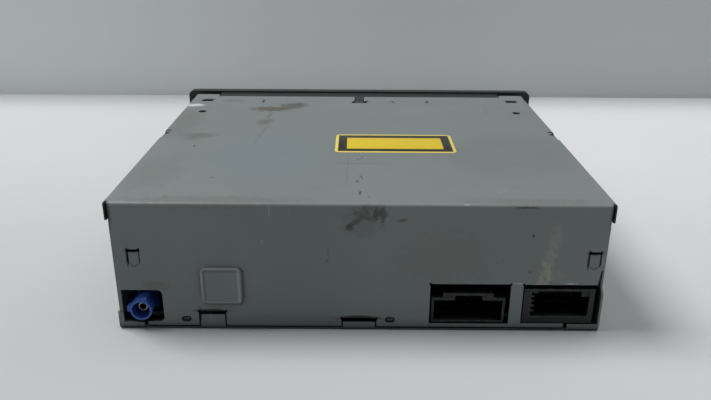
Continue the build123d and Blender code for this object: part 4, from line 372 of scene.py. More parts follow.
rearMarks = [
    (6.9, 47.6, 3.2, 2.6, 10, sootAndShade, 0.6, 1.0), (2.4, 46.6, 5.6, 2.0, -18, brown, 0.5, 0.9),
    (-3.4, 42.4, 1.7, 1.6, 0, sootAndShade, 0.5, 0.9), (-1.6, 44.4, 4.4, 1.3, 32, brown, 0.6, 0.6),
    (0.4, 44.4, 9.0, 7.0, 0, sootAndShade, 0.16, 0.7), (14.9, 45.2, 2.2, 0.7, 10, brown, 0.62, 0.5),
    (4.0, 49.8, 4.5, 1.4, 0, brown, 0.4, 0.5), (68.4, 38.0, 2.2, 7.0, -6, beige, 0.2, 1.0),
    (67.2, 30.0, 2.8, 7.0, -6, beige, 0.24, 1.0), (66.4, 26.2, 2.4, 4.6, -6, beige, 0.36, 1.2),
    (65.3, 21.5, 2.6, 3.0, -10, beige, 0.5, 1.2), (68.0, 24.0, 6.0, 3.4, 0, beige, 0.14, 1.0),
    (60.6, 39.6, 0.5, 0.8, 0, sootAndShade, 0.75, 0.4), (60.7, 25.4, 0.5, 0.5, 0, sootAndShade, 0.55, 0.3),
    (51.1, 29.8, 0.4, 0.4, 0, sootAndShade, 0.4, 0.3), (-34.2, 36.8, 0.7, 0.6, 0, beige, 0.35, 0.4),
    (-11.5, 29.4, 0.8, 1.0, 0, brown, 0.4, 0.4), (-11.0, 33.0, 0.4, 3.0, 4, brown, 0.25, 0.4),
    (-31.3, 48.1, 0.25, 2.6, 0, scuffAndHighlight, 0.22, 0.2), (-23.0, 48.1, 0.25, 2.2, 0, sootAndShade, 0.25, 0.2),
    # (57.5, 50.2) is the painted shadow of a dent by the fold
    (36.9, 50.9, 1.4, 0.25, 0, scuffAndHighlight, 0.35, 0.3), (57.5, 50.2, 5.6, 0.45, 0, sootAndShade, 0.6, 0.3),
    (57.0, 20.8, 2.2, 0.35, 0, scuffAndHighlight, 0.45, 0.7), (75.6, 20.9, 3.0, 0.35, 0, scuffAndHighlight, 0.5, 0.8),
    # the soot marks from here to (11.2, 5.9) are painted shade: the skirt ends, the catches, the slit by the
    # wide lug, a slit low in the middle and the oval slots
    (-88.3, 47.4, 2.6, 8.5, 0, sootAndShade, 0.97, 0.02), (88.7, 47.4, 2.6, 8.5, 0, sootAndShade, 0.97, 0.02),
    (-80.3, 32.8, 3.6, 0.9, 0, sootAndShade, 0.97, 0.1), (83.1, 32.8, 3.6, 0.9, 0, sootAndShade, 0.97, 0.1),
    (-82.2, 30.0, 0.6, 4.6, 0, sootAndShade, 0.85, 0.1), (81.0, 30.0, 0.6, 4.6, 0, sootAndShade, 0.85, 0.1),
    (-53.5, 8.9, 8.0, 0.9, 0, sootAndShade, 0.97, 0.02), (-57.9, 7.4, 0.7, 3.6, 0, sootAndShade, 0.9, 0.1),
    (0.0, 6.0, 9.6, 1.6, 0, sootAndShade, 0.97, 0.02), (-63.2, 5.3, 2.2, 1.2, 0, sootAndShade, 0.55, 0.2),
    (11.2, 5.9, 2.2, 1.2, 0, sootAndShade, 0.55, 0.2), (-73.0, 19.0, 6.0, 2.4, 0, brown, 0.25, 0.5),
    # (-20.0, 5.4) is painted shade along the bottom of the rear wall
    (-20.0, 5.4, 46.0, 2.2, 0, sootAndShade, 0.16, 0.3), (30.0, 31.0, 22.0, 14.0, 0, brown, 0.1, 0.5),
]
markDepth = 3.0  # how far a mark reaches into the sheet
caseLook = {"colour": (0.204, 0.227, 0.222), "darker": (0.176, 0.2, 0.196), "bare": (0.33, 0.35, 0.34),
            "cloud": 14.0, "grain": 1700.0, "rough": (0.6, 0.5), "bump": 0.1, "wornShare": 0.35,
            "inputs": {"Metallic": 0.15, "Specular IOR Level": 0.3}}

# Pressed square on the rear wall, in mm: a dark line and a pale line follow its rim, a little apart, as
# painted shade on its lower right side and a painted highlight on its upper left side
padLightAndShade = {"centre": (-49.4, 19.2), "half": (7.2, 7.5), "corner": 1.6, "inset": 0.5, "line": 1.1,
           "lines": ((0.4, sootAndShade, 0.5), (-0.25, scuffAndHighlight, 0.3))}


def coatedSteel():
    mat, tree, position, grain = startFinish("coatedSteel", caseLook)
    wear = placed(tree, edgeWear, {"Vector": position, "Width": 0.00035, "Breakup": 420.0})["Mask"]
    worn = times(tree, wear, caseLook["wornShare"])
    colour = mixed(tree, worn, clouded(tree, grain, caseLook), caseLook["bare"])
    drawn = [((x, y, topZ / mm), (0, 0, radians(turn)), (a, b, markDepth), tone, strength, ragged)
             for x, y, a, b, turn, tone, strength, ragged in topMarks]
    drawn += [((x, rearY / mm, z), (0, radians(turn), 0), (a, markDepth, b), tone, strength, ragged)
              for x, z, a, b, turn, tone, strength, ragged in rearMarks]
    for centre, turn, half, tone, strength, ragged in drawn:
        mark = {"Vector": position, "Centre": Vector(centre) * mm, "Turn": turn, "Reach": Vector(half) * mm,
                "Ragged": ragged, "Strength": strength}
        colour = mixed(tree, placed(tree, stain, mark)["Mask"], colour, tone)
    (x, z), (a, b), corner = padLightAndShade["centre"], padLightAndShade["half"], padLightAndShade["corner"]
    # painted shade and painted highlight along the rim of the pressed square
    for shift, tone, strength in padLightAndShade["lines"]:
        centre, half = Vector((x + shift, rearY / mm, z - shift)), Vector((a - corner, 5.0, b - corner))
        rim = {"Vector": position, "Centre": centre * mm, "Half": half * mm,
               "Corner": (corner - padLightAndShade["inset"]) * mm, "Width": padLightAndShade["line"] * mm}
        colour = mixed(tree, times(tree, placed(tree, padRim, rim)["Mask"], strength), colour, tone)
    colour = placed(tree, hollowShade, {"Colour": colour, "Depth": 1.5, "Reach": 0.004})["Colour"]
    rough = spread(tree, grain["Broad"], 0.0, 1.0, *caseLook["rough"])
    return endFinish(mat, caseLook, colour, rough, grain["Fine"])


# The board is dark green solder mask, made darker still as painted shade for the dark inside of the case
shadedBoardLook = {"colour": (0.014, 0.036, 0.024), "darker": (0.01, 0.028, 0.018),
             "copper": (0.022, 0.058, 0.036), "pads": (0.16, 0.15, 0.12), "rough": (0.28, 0.42),
             "grain": 1200.0, "cloud": 60.0, "bump": 0.3, "depth": 0.00005}


def circuitBoard():
    mat, tree, position, grain = startFinish("circuitBoard", shadedBoardLook)
    traces = placed(tree, boardTraces, {"Vector": position})
    colour = mixed(tree, traces["Copper"], clouded(tree, grain, shadedBoardLook), shadedBoardLook["copper"])
    colour = mixed(tree, traces["Pads"], colour, shadedBoardLook["pads"])
    return endFinish(mat, shadedBoardLook, colour, fineRough(tree, grain, shadedBoardLook), traces["Copper"])


def bands(tree, position, direction, scale, distortion):
    inputs = {"Vector": position, "Scale": scale, "Distortion": distortion}
    return put(tree, "ShaderNodeTexWave", inputs, wave_type="BANDS", bands_direction=direction).outputs["Fac"]


ribbonLook = {"colour": (0.52, 0.27, 0.07), "darker": (0.3, 0.12, 0.025), "stained": (0.22, 0.09, 0.02),
              "rough": (0.22, 0.35), "grain": 900.0, "cloud": 80.0, "bump": 0.2, "depth": 0.00005}


def ribbonFilm():
    mat, tree, position, grain = startFinish("ribbonFilm", ribbonLook)
    wires = bands(tree, position, "Y", 160.0, 0.0)
    stripes = mixed(tree, spread(tree, wires, 0.45, 0.55), ribbonLook["darker"], ribbonLook["colour"])
    colour = mixed(tree, times(tree, grain["Broad"], 0.3), stripes, ribbonLook["stained"])
    return endFinish(mat, ribbonLook, colour, fineRough(tree, grain, ribbonLook), wires)


wireLook = {"colour": (0.5, 0.17, 0.06), "darker": (0.2, 0.055, 0.02), "rough": (0.45, 0.28), "bump": 0.5,
            "inputs": {"Metallic": 0.9}}


def windingWire():
    mat, tree, position = newMaterial("windingWire")
    turns = bands(tree, position, "Z", 420.0, 0.4)
    colour = mixed(tree, turns, wireLook["darker"], wireLook["colour"])
    return endFinish(mat, wireLook, colour, spread(tree, turns, 0.0, 1.0, *wireLook["rough"]), turns)


# The sticker on the cover: a blank field in a black frame, places and half sizes in mm
labelLook = {"centre": (15.1, -13.35), "half": (25.5, 12.9), "corner": 2.2, "thick": 0.12,
             "frame": (24.2, 11.45), "fieldCentre": (15.1, -13.45), "field": (20.5, 7.8),
             "yellow": (0.68, 0.5, 0.012), "edge": (0.76, 0.6, 0.13), "black": (0.016, 0.016, 0.016),
             "dust": (0.2, 0.17, 0.08), "dustShare": 0.1, "rough": (0.34, 0.46), "grain": 2600.0,
             "cloud": 90.0, "bump": 0.08}


def stickerPrint(look):
    mat, tree, position, grain = startFinish("stickerPrint", look)

    def inside(centre, half, soft=0.00008):
        off = vectors(tree, "SUBTRACT", position, (centre[0] * mm, centre[1] * mm, 0))
        sides = put(tree, "ShaderNodeSeparateXYZ", {0: vectors(tree, "ABSOLUTE", off)}).outputs
        over = [maths(tree, "SUBTRACT", sides[k], half[k] * mm) for k in range(2)]
        return spread(tree, maths(tree, "MAXIMUM", *over), soft, -soft)

    frame, field = inside(look["centre"], look["frame"]), inside(look["fieldCentre"], look["field"])
    colour = mixed(tree, field, mixed(tree, frame, look["edge"], look["black"]), look["yellow"])
    colour = mixed(tree, times(tree, grain["Broad"], look["dustShare"]), colour, look["dust"])
    return endFinish(mat, look, colour, fineRough(tree, grain, look), grain["Fine"])


finish = {slot: grainedFinish(slot.replace("_", "-") + "-finish", look) for slot, look in finishLooks.items()}
finish.update(coated_steel=coatedSteel(), circuit_board=circuitBoard(), ribbon_film=ribbonFilm())
labelFinish, wireFinish = stickerPrint(labelLook), windingWire()
lensFinish, shadedPinFinish = grainedFinish("lensGlass", lensLook), grainedFinish("darkPin-finish", shadedPinLook)
socketFinish = grainedFinish("socket-finish", socketLook)
ownFinish = {"power_pins": shadedPinFinish, "data_pins": shadedPinFinish, "power_connector": socketFinish,
             "data_connector": socketFinish}
for node, piece in nodes.items():
    for holder in piece.material_slots:
        holder.material = finish[slotOf[node]]
print("finishes ready:", len(finish))


# Helpers for meshes

tiny = 1e-6  # shorter lengths count as none


def meshObject(name, verts, faces, material):
    mesh = bpy.data.meshes.new(name)
    mesh.from_pydata(verts, [], faces)
    mesh.validate()
    mesh.materials.append(material)
    return linked(name, mesh)


def shadeByAngle(obj, angle=35.0):
    obj.data.shade_smooth()
    obj.data.set_sharp_from_angle(angle=radians(angle))


def faceOutward(obj):
    body = bmesh.new()
    body.from_mesh(obj.data)
    bmesh.ops.recalc_face_normals(body, faces=body.faces)
    body.to_mesh(obj.data)
    body.free()


def baked(obj):
    mesh = bpy.data.meshes.new_from_object(obj.evaluated_get(bpy.context.evaluated_depsgraph_get()))
    for modifier in list(obj.modifiers):
        obj.modifiers.remove(modifier)
    obj.data = mesh
    return obj


def pieceName(node):
    first, *rest = node.split("_")
    return first + "".join(word.capitalize() for word in rest)


def stand(piece, node):
    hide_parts(node)
    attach(piece, bodyOf[node])


def nodeBody(node):
    body = bmesh.new()
    body.from_mesh(nodes[node].data)
    bmesh.ops.remove_doubles(body, verts=body.verts, dist=tiny)
    return body


def islands(node):
    body = nodeBody(node)
    found, seen = [], set()
    for start in body.verts:
        if start in seen:
            continue
        seen.add(start)
        group, ahead = [], [start]
        while ahead:
            vert = ahead.pop()
            group.append(vert.co.copy())
            for edge in vert.link_edges:
                other = edge.other_vert(vert)
                if other not in seen:
                    seen.add(other)
                    ahead.append(other)
        found.append(tuple(Vector([pick(v[i] for v in group) for i in range(3)]) for pick in (min, max)))
    body.free()
    return found


def middle(box):
    return (box[0] + box[1]) / 2


axes = {"X": Vector((1, 0, 0)), "Y": Vector((0, 1, 0)), "Z": Vector((0, 0, 1))}


def lathe(parts, steps=48):
    verts, faces = [], []
    for centre, axis, profile in parts:
        axis = axes[axis] if isinstance(axis, str) else Vector(axis).normalized()
        side = axis.orthogonal().normalized()
        other = axis.cross(side)
        around = [side * cos(2 * pi * i / steps) + other * sin(2 * pi * i / steps) for i in range(steps)]
        ring = profile[0][1] > tiny  # a profile off the axis closes on itself
        rows = []
        for along, radius in profile:
            count = 1 if radius < tiny else steps
            rows.append(list(range(len(verts), len(verts) + count)))
            verts += [centre + axis * along * mm + around[i] * (radius if count > 1 else 0.0) * mm
                      for i in range(count)]
        for a, b in zip(rows, rows[1:] + rows[:1] if ring else rows[1:]):
            for i in range(steps):
                j = (i + 1) % steps
                corners = [a[i % len(a)], a[j % len(a)], b[j % len(b)], b[i % len(b)]]
                corners = [c for k, c in enumerate(corners) if c != corners[k - 1]]
                if len(corners) > 2:
                    faces.append(corners)
    return verts, faces


def turned(name, parts, material, steps=48, angle=35.0):
    obj = meshObject(name, *lathe(parts, steps), material)
    faceOutward(obj)
    shadeByAngle(obj, angle)
    return obj


# Sheet and moulded pieces: the solids' own shapes with their edges broken, edge width in mm

edgeLooks = {
    "top_cover": 0.12, "lower_tray": 0.12, "front_plate": 0.12, "bezel": 0.28, "dust_flap": 0.15,
    "eject_button": 0.3, "power_connector": 0.14, "data_connector": 0.14, "antenna_housing": 0.14,
    "deck_frame": 0.12, "disc_guide": 0.16, "clamp_arm": 0.12, "mode_slider": 0.08, "traverse_frame": 0.16,
    "pickup_body": 0.22, "sensor_lever_left": 0.15, "sensor_lever_right": 0.15, "receiver_shield": 0.1,
    "heat_spreader": 0.14, "processor": 0.1, "memory_chips": 0.1, "turn_sensor": 0.15,
    "board_sockets": 0.15, "tact_switch": 0.12, "front_board": 0.05, "main_board": 0.05,
    "roller_gear": 0.05, "compound_gear": 0.05, "motor_pinion": 0.04, "mode_pinion": 0.04,
    "flap_spring": 0.04, "power_pins": 0.05, "data_pins": 0.05,
    "slot_felts": 0.12,
}


def softened(node, width):
    body = nodeBody(node)
    bmesh.ops.dissolve_limit(body, angle_limit=radians(0.4), verts=body.verts, edges=body.edges)
    mesh = bpy.data.meshes.new(pieceName(node))
    body.to_mesh(mesh)
    surface = BVHTree.FromBMesh(body)
    body.free()
    mesh.materials.append(ownFinish.get(node, finish[slotOf[node]]))
    obj = linked(pieceName(node), mesh)
    bevel = obj.modifiers.new("brokenEdges", "BEVEL")
    bevel.limit_method = "ANGLE"
    bevel.angle_limit = radians(32)
    bevel.width = width * mm
    bevel.segments = 2
    bevel.use_clamp_overlap = False
    baked(obj)
    for vert in obj.data.vertices:  # a corner that overshot goes back to the solid
        place, normal, index, far = surface.find_nearest(vert.co)
        if far > 0.5 * width * mm:
            vert.co = place
    shadeByAngle(obj, 30)
    obj.modifiers.new("levelFaces", "WEIGHTED_NORMAL").keep_sharp = True
    baked(obj)
    stand(obj, node)


for node, width in edgeLooks.items():
    softened(node, width)
print("sheet and moulded pieces:", len(edgeLooks))


# Turned pieces: profiles are (mm along the axis, radius in mm)

def onAxis(box, axis):
    centre = middle(box)
    centre["XYZ".index(axis)] = 0.0
    return centre


def reach(box, axis):
    return max((box[1][k] - box[0][k]) / 2 / mm for k in range(3) if k != "XYZ".index(axis))


def turnedNode(node, axis, profileOf):
    k = "XYZ".index(axis)
    parts = [(onAxis(box, axis), axis, profileOf(box[0][k] / mm, box[1][k] / mm, reach(box, axis)))
             for box in islands(node)]
    stand(turned(pieceName(node), parts, finish[slotOf[node]]), node)


def rise(at, r, edge):  # broken edge at the low end
    return [(at, r - edge), (at + edge, r)]


def fall(at, r, edge):  # broken edge at the high end
    return [(at - edge, r), (at, r - edge)]


def step(start, end, outer, innerShade):  # groove or rib
    return [(start, outer), (start, innerShade), (end, innerShade), (end, outer)]


def rodProfile(edge):
    return lambda low, high, r: [(low, 0), *rise(low, r, edge), *fall(high, r, edge), (high, 0)]


def postProfile(low, high, r):
    bore, deep = 1.25, 4.0
    return [(low, 0), (low, r), *fall(high, r, 0.3), (high, bore), (high - deep, bore), (high - deep, 0)]


def damperProfile(low, high, r):
    bore, neck = 1.6, 2.6
    return [(low, bore), *rise(low, r, 0.5), (low + 3.5, r), *step(low + 4, low + 5, r - 0.5, neck),
            (low + 5.4, r), (high - 0.4, r), (high, r - 0.6), (high, bore)]


def mountProfile(low, high, r):
    half = (low + high) / 2
    return [(low, 0), (low, r - 0.4), (low + 0.3, r), (half - 0.4, r), (half, r - 0.5), (half + 0.4, r),
            (high - 0.3, r), (high, r - 0.4), (high, 0)]


def canProfile(low, high, r):
    foot, neck = r * 0.93, r * 0.86
    return [(low, 0), (low, foot), (low + 0.7, foot), (low + 1.1, neck), (low + 1.6, r), (high - 0.6, r),
            (high - 0.15, r - 0.25), (high, r - 0.7), (high, r - 1.2), (high - 0.15, r - 1.4),
            (high - 0.15, 0)]


def sleeveProfile(low, high, r):
    bore, waist = 1.55, 3.6  # the rubbers taper to the middle of the roller
    first, last = (waist, r) if low > 0 else (r, waist)
    return [(low, bore), *rise(low, first, 0.3), *fall(high, last, 0.3), (high, bore)]


def bushProfile(low, high, r):
    sleeve, bore, flange, edge = 3.2, 1.55, 1.0, 0.2
    first, at, last = (r, low + flange, sleeve) if low > 0 else (sleeve, high - flange, r)
    return [(low, bore), *rise(low, first, edge), (at, first), (at, last), *fall(high, last, edge),
            (high, bore)]


def shaftProfile(low, high, r):
    shaft, collar, groove, edge = 1.5, 2.4, 1.1, 0.3
    return [(low, 0), *rise(low, shaft, edge), *step(-79.0, -78.6, shaft, collar), (-2, shaft),
            *rise(-2, collar, 0.2), *fall(2, collar, 0.2), (2, shaft),
            *step(high - 1.4, high - 0.9, shaft, groove), *fall(high, shaft, edge), (high, 0)]


def pivotProfile(low, high, r):
    rod, head, edge = 1.0, 0.8, 0.3
    return [(low, 0), *rise(low, r, edge), *step(low + head, high - head, r, rod), *fall(high, r, edge),
            (high, 0)]


def sledMotorProfile(low, high, r):
    bore, deep, edge = 1.05, 5.0, 0.4
    return [(low + deep, 0), (low + deep, bore), (low, bore), (low, 2.0), (low + edge, 2.2),
            *rise(low + edge, r, edge), *step(high - 1.6, high - 1.2, r, r - 0.25), *fall(high, r, edge),
            (high, 1.6), (high - 0.3, 1.4), (high - 0.3, 0)]


def lensRingProfile(low, high, r):
    return [(low, 0), *rise(low, r, 0.2), (high - 0.8, r), (high - 0.3, r - 0.4), (high, r - 0.9),
            (high - 0.3, r - 1.1), (high - 0.5, r - 1.2), (high - 0.5, 0)]


def lampProfile(low, high, r):
    rod, flangeBack, flange = 1.5, 81.05, 1.0
    return [(low, 0), (low, rod), *step(flangeBack, flangeBack + flange, rod, r), (high - 0.5, rod),
            (high - 0.15, rod - 0.5), (high, 0)]


def shieldProfile(low, high, r):
    wall, backing, bore = 0.4, 3.8, 0.86
    return [(low, r - wall), (low, r - 0.1), (low + 0.15, r), (high, r), (high, bore), (high - backing, bore),
            (high - backing, r - wall)]


def antennaPinProfile(low, high, r):
    tip, base = 0.45, 4.9
    return [(low, 0), (low + 0.1, 0.2), (low + 0.5, tip), (high - base, tip), (high - base, r),
            *fall(high, r, 0.2), (high, 0)]


turnedLooks = {
    "suspension_posts": ("Z", postProfile), "deck_dampers": ("Z", damperProfile),
    "traverse_mounts": ("Z", mountProfile), "capacitors": ("Z", canProfile),
    "roller_rubbers": ("X", sleeveProfile), "roller_bushes": ("X", bushProfile),
    "roller_shaft": ("X", shaftProfile), "clamp_pivot": ("X", pivotProfile),
    "guide_rods": ("X", rodProfile(0.25)), "sled_motor": ("X", sledMotorProfile),
    "lens_holder": ("Z", lensRingProfile), "switch_plunger": ("Y", rodProfile(0.2)),
    "light_guide": ("Y", lampProfile), "antenna_shield": ("Y", shieldProfile),
    "antenna_pin": ("Y", antennaPinProfile),
}
for node, (axis, profileOf) in turnedLooks.items():
    turnedNode(node, axis, profileOf)


# Clamper, turntable and spindle motor, measured along their axis from the joint's place

clamperProfile = [(-6.4, 0), (-6.4, 8.1), (-7.4, 8.1), (-7.4, 14.5), (-7.0, 15.0), (-5.7, 15.0), (-5.2, 14.4),
                  (-5.2, 11.6), (-5.5, 11.3), (-5.5, 9.7), (-5.2, 9.4), (-5.2, 4.6), (-4.7, 4.0), (1.05, 4.0),
                  (1.05, 7.2), (1.3, 7.5), (1.9, 7.5), (2.2, 7.2), (2.2, 3.0), (1.9, 2.7), (1.9, 0)]
turntableProfile = [(-9.6, 0), (-9.6, 0.8), (-9.4, 1.0), (-3.8, 1.0), (-3.8, 11.6), (-8.4, 11.6),
                    (-8.4, 12.3), (-8.2, 12.5), (-2.8, 12.5), (-2.8, 14.2), (-2.5, 14.5), (-0.9, 14.5),
                    (-0.6, 14.2), (-0.6, 7.4), (0.5, 7.4), (1.2, 6.7), (1.2, 2.8), (0.9, 2.6), (0.9, 0)]
matProfile = [(-0.62, 10.2), (-0.62, 13.6), (-0.54, 13.5), (-0.54, 10.3)]
motorProfile = [(-9.9, 0), (-9.9, 12.2), (-9.7, 12.5), (-8.9, 12.5), (-8.9, 2.6), (-8.1, 2.6), (-8.1, 10.4),
                (-5.0, 10.4), (-5.0, 2.6), (-4.4, 2.6), (-4.4, 1.05), (-9.7, 1.05), (-9.7, 0)]
glassProfile = [(-0.6, 0), (-0.6, 1.9), (-0.45, 1.85), (-0.2, 1.3), (-0.1, 0.7), (-0.06, 0)]


def onJoint(name, joint, profile, slot):
    look = jointOf[joint]
    return turned(name, [(Vector(look["pos_m"]), look["axis"], profile)], finish[slot], 72)


stand(onJoint("clamper", "clamper_spin", clamperProfile, "black_plastic"), "clamper")
stand(onJoint("turntable", "turntable_spin", turntableProfile, "aluminium"), "turntable")
stand(onJoint("spindleMotor", "turntable_spin", motorProfile, "bright_steel"), "spindle_motor")
turntableMat = onJoint("turntableMat", "turntable_spin", matProfile, "rubber")
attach(turntableMat, "turntable")

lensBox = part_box("lens_holder")
lensRows = [(lensBox[1].z / mm + along, radius) for along, radius in glassProfile]
focusLens = turned("focusLens", [(onAxis(lensBox, "Z"), "Z", lensRows)], lensFinish)
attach(focusLens, "lens")
print("turned pieces:", len(turnedLooks) + 5)


# Flattened motor cans

motorLook = {"radius": 6.2, "flat": 0.82, "boss": 2.4, "bossLength": 1.2, "bore": 1.05, "seam": 2.6}


def flattenedMotor(node, outward):
    low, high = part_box(node)
    centre = middle((low, high))
    radius, boss, bossLength = motorLook["radius"], motorLook["boss"], motorLook["bossLength"]
    shaftEnd = (high.x if outward > 0 else low.x) / mm
    length = (high.x - low.x) / mm - bossLength
    seam = length - motorLook["seam"]
    rows = [(0, 0.0), (0, motorLook["bore"]), *rise(0, radius, 0.5),
            *step(seam, seam + 0.4, radius, radius - 0.2), *fall(length, radius, 0.5), (length, boss),
            (length + bossLength, boss), (length + bossLength, 0.0)]
    profile = [(shaftEnd - outward * along, across) for along, across in rows]
    verts, faces = lathe([(Vector((0, centre.y, centre.z)), "X", profile)], 72)
    limit = radius * motorLook["flat"] * mm
    verts = [Vector((v.x, v.y, min(max(v.z, centre.z - limit), centre.z + limit))) for v in verts]
    piece = meshObject(pieceName(node), verts, faces, finish[slotOf[node]])
    faceOutward(piece)
    shadeByAngle(piece, 30)
    stand(piece, node)


flattenedMotor("loading_motor", -1)
flattenedMotor("mode_motor", 1)


# Coil: a foot with broken edges, a winding and a lid

coilLook = {"foot": 3.0, "pot": 5.0, "winding": 4.6, "edge": 0.5, "lid": 0.8, "dent": 0.4}


def powerCoil():
    low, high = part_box("power_coil")
    body = bmesh.new()
    size = Vector((high.x - low.x, high.y - low.y, coilLook["foot"] * mm))
    for vert in bmesh.ops.create_cube(body, size=1.0)["verts"]:
        vert.co = low + (vert.co + Vector((0.5, 0.5, 0.5))) * size
    bmesh.ops.bevel(body, geom=body.edges[:], offset=coilLook["edge"] * mm, segments=2, affect="EDGES")
    foot = bpy.data.meshes.new("powerCoil")
    body.to_mesh(foot)
    body.free()
    foot.materials.append(finish["chip_black"])
    stand(linked("powerCoil", foot), "power_coil")
    start, end, pot, wound = low.z / mm + coilLook["foot"], high.z / mm, coilLook["pot"], coilLook["winding"]
    lid, dent = end - coilLook["lid"], end - coilLook["dent"]
    centre = onAxis((low, high), "Z")
    coil = [(start - 0.1, 0), (start - 0.1, wound), (lid, wound), (lid, 0)]
    cap = [(lid - 0.05, 0), (lid - 0.05, pot), (end - 0.2, pot), (end, pot - 0.3), (end, 1.6), (dent, 1.4),
           (dent, 0)]
    for extra in (turned("coilWinding", [(centre, "Z", coil)], wireFinish),
                  turned("coilLid", [(centre, "Z", cap)], finish["chip_black"])):
        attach(extra, bodyOf["power_coil"])


powerCoil()
print("motors and coil ready")


# Geometry nodes: what repeats or follows a path

def newGeometryTree(name, inputs):
    shape = {"Geometry": "Geometry"}
    return newGroup(name, {**shape, **inputs}, shape, "GeometryNodeTree")


def grown(obj, tree, values):
    modifier = obj.modifiers.new(tree.name, "NODES")
    modifier.node_group = tree
    for item in tree.interface.items_tree:
        if item.in_out == "INPUT" and item.name in values:
            modifier[item.identifier] = values[item.name]
    return baked(obj)


def solid(tree, kind, inputs):
    return put(tree, "GeometryNodeMesh" + kind, inputs).outputs["Mesh"]


def moved(tree, geometry, way, turn=(0, 0, 0)):
    inputs = {"Geometry": geometry, "Translation": way, "Rotation": turn}
    return put(tree, "GeometryNodeTransform", inputs).outputs[0]


def joined(tree, *sockets):
    node = tree.nodes.new("GeometryNodeJoinGeometry")
    for socket in reversed(sockets):
        tree.links.new(socket, node.inputs[0])
    return node.outputs[0]


def copied(tree, points, instance, rotation):
    inputs = {"Points": points, "Instance": instance, "Rotation": rotation}
    return put(tree, "GeometryNodeInstanceOnPoints", inputs).outputs[0]


def realized(tree, geometry):
    return put(tree, "GeometryNodeRealizeInstances", {"Geometry": geometry}).outputs[0]


def painted(tree, geometry, material):
    return put(tree, "GeometryNodeSetMaterial", {"Geometry": geometry, "Material": material}).outputs[0]


def enabledOutput(node):
    return next(socket for socket in node.outputs if socket.enabled)


def seededTurn(tree, given, low, high, kind="FLOAT", factor=1.0):
    lowKey, highKey = {"FLOAT": (2, 3), "INT": (4, 5)}[kind]
    inputs = {"Seed": given["Seed"], lowKey: low, highKey: high}
    value = enabledOutput(put(tree, "FunctionNodeRandomValue", inputs, data_type=kind))
    return xyz(tree, z=times(tree, value, factor))


def crossHeadScrewTree():
    tree, given, result = newGeometryTree("crossHeadScrews", {
        "Head Radius": 0.0026, "Head Height": 0.0014, "Shank Radius": 0.0012, "Shank Length": 0.003,
        "Seed": 7, "Material": "Material"})
    radius, height, length = given["Head Radius"], given["Head Height"], given["Shank Length"]
    head = solid(tree, "Cone", {"Radius Top": times(tree, radius, 0.78), "Radius Bottom": radius,
                                "Depth": height, "Vertices": 40})
    recessed = put(tree, "GeometryNodeMeshBoolean", {"Mesh 1": head}, operation="DIFFERENCE")
    for turn in (0, pi / 2):
        size = xyz(tree, times(tree, radius, 1.15), times(tree, radius, 0.24), height)
        bar = solid(tree, "Cube", {"Size": size})
        feed(tree, recessed, "Mesh 2", moved(tree, bar, xyz(tree, z=height), (0, 0, turn)))
    shank = solid(tree, "Cylinder", {"Radius": given["Shank Radius"], "Depth": length, "Vertices": 28})
    sunk = moved(tree, shank, xyz(tree, z=times(tree, length, -0.5)))
    screw = joined(tree, recessed.outputs["Mesh"], sunk)
    copies = copied(tree, given["Geometry"], screw, seededTurn(tree, given, 0.0, 2 * pi))
    return closed(tree, result, Geometry=painted(tree, realized(tree, copies), given["Material"]))


screwTree = crossHeadScrewTree()
screwLooks = {
    "board_screws": {"head": 2.6, "height": 1.4, "shank": 1.2, "seed": 3},
    "damper_screws": {"head": 3.5, "height": 1.2, "shank": 1.5, "seed": 11},
}


def screws(node, look):
    boxes = islands(node)
    seats = [Vector((middle(box).x, middle(box).y, box[1].z - look["height"] * mm)) for box in boxes]
    metal = finish[slotOf[node]]
    piece = meshObject(pieceName(node), seats, [], metal)
    grown(piece, screwTree, {"Head Radius": look["head"] * mm, "Head Height": look["height"] * mm,
                             "Shank Radius": look["shank"] * mm, "Shank Length": seats[0].z - boxes[0][0].z,
                             "Seed": look["seed"], "Material": metal})
    shadeByAngle(piece, 30)
    stand(piece, node)


for node, look in screwLooks.items():
    screws(node, look)


def threadTree():
    tree, given, result = newGeometryTree("turnedThread", {
        "Length": 0.065, "Core Radius": 0.0012, "Pitch": 0.003, "Thread Depth": 0.0003, "Place": (0, 0, 0),
        "Material": "Material"})
    length, radius = given["Length"], given["Core Radius"]
    turns = maths(tree, "DIVIDE", length, given["Pitch"])
    spiral = put(tree, "GeometryNodeCurveSpiral", {
        "Rotations": turns, "Start Radius": radius, "End Radius": radius, "Height": length, "Resolution": 28})
    ridge = put(tree, "GeometryNodeCurvePrimitiveCircle", {"Radius": given["Thread Depth"], "Resolution": 4})
    thread = put(tree, "GeometryNodeCurveToMesh", {
        "Curve": spiral.outputs[0], "Profile Curve": ridge.outputs[0], "Fill Caps": True})
    core = solid(tree, "Cylinder", {"Radius": radius, "Depth": length, "Vertices": 40})
    lifted = moved(tree, core, xyz(tree, z=times(tree, length, 0.5)))
    both = joined(tree, thread.outputs[0], lifted, given["Geometry"])
    laid = moved(tree, both, given["Place"], (0, pi / 2, 0))
    return closed(tree, result, Geometry=painted(tree, realized(tree, laid), given["Material"]))


leadLook = {"left": 1.5, "right": 5.2, "core": 1.12, "ridge": 0.26, "pitch": 3.0, "end": 1.0}


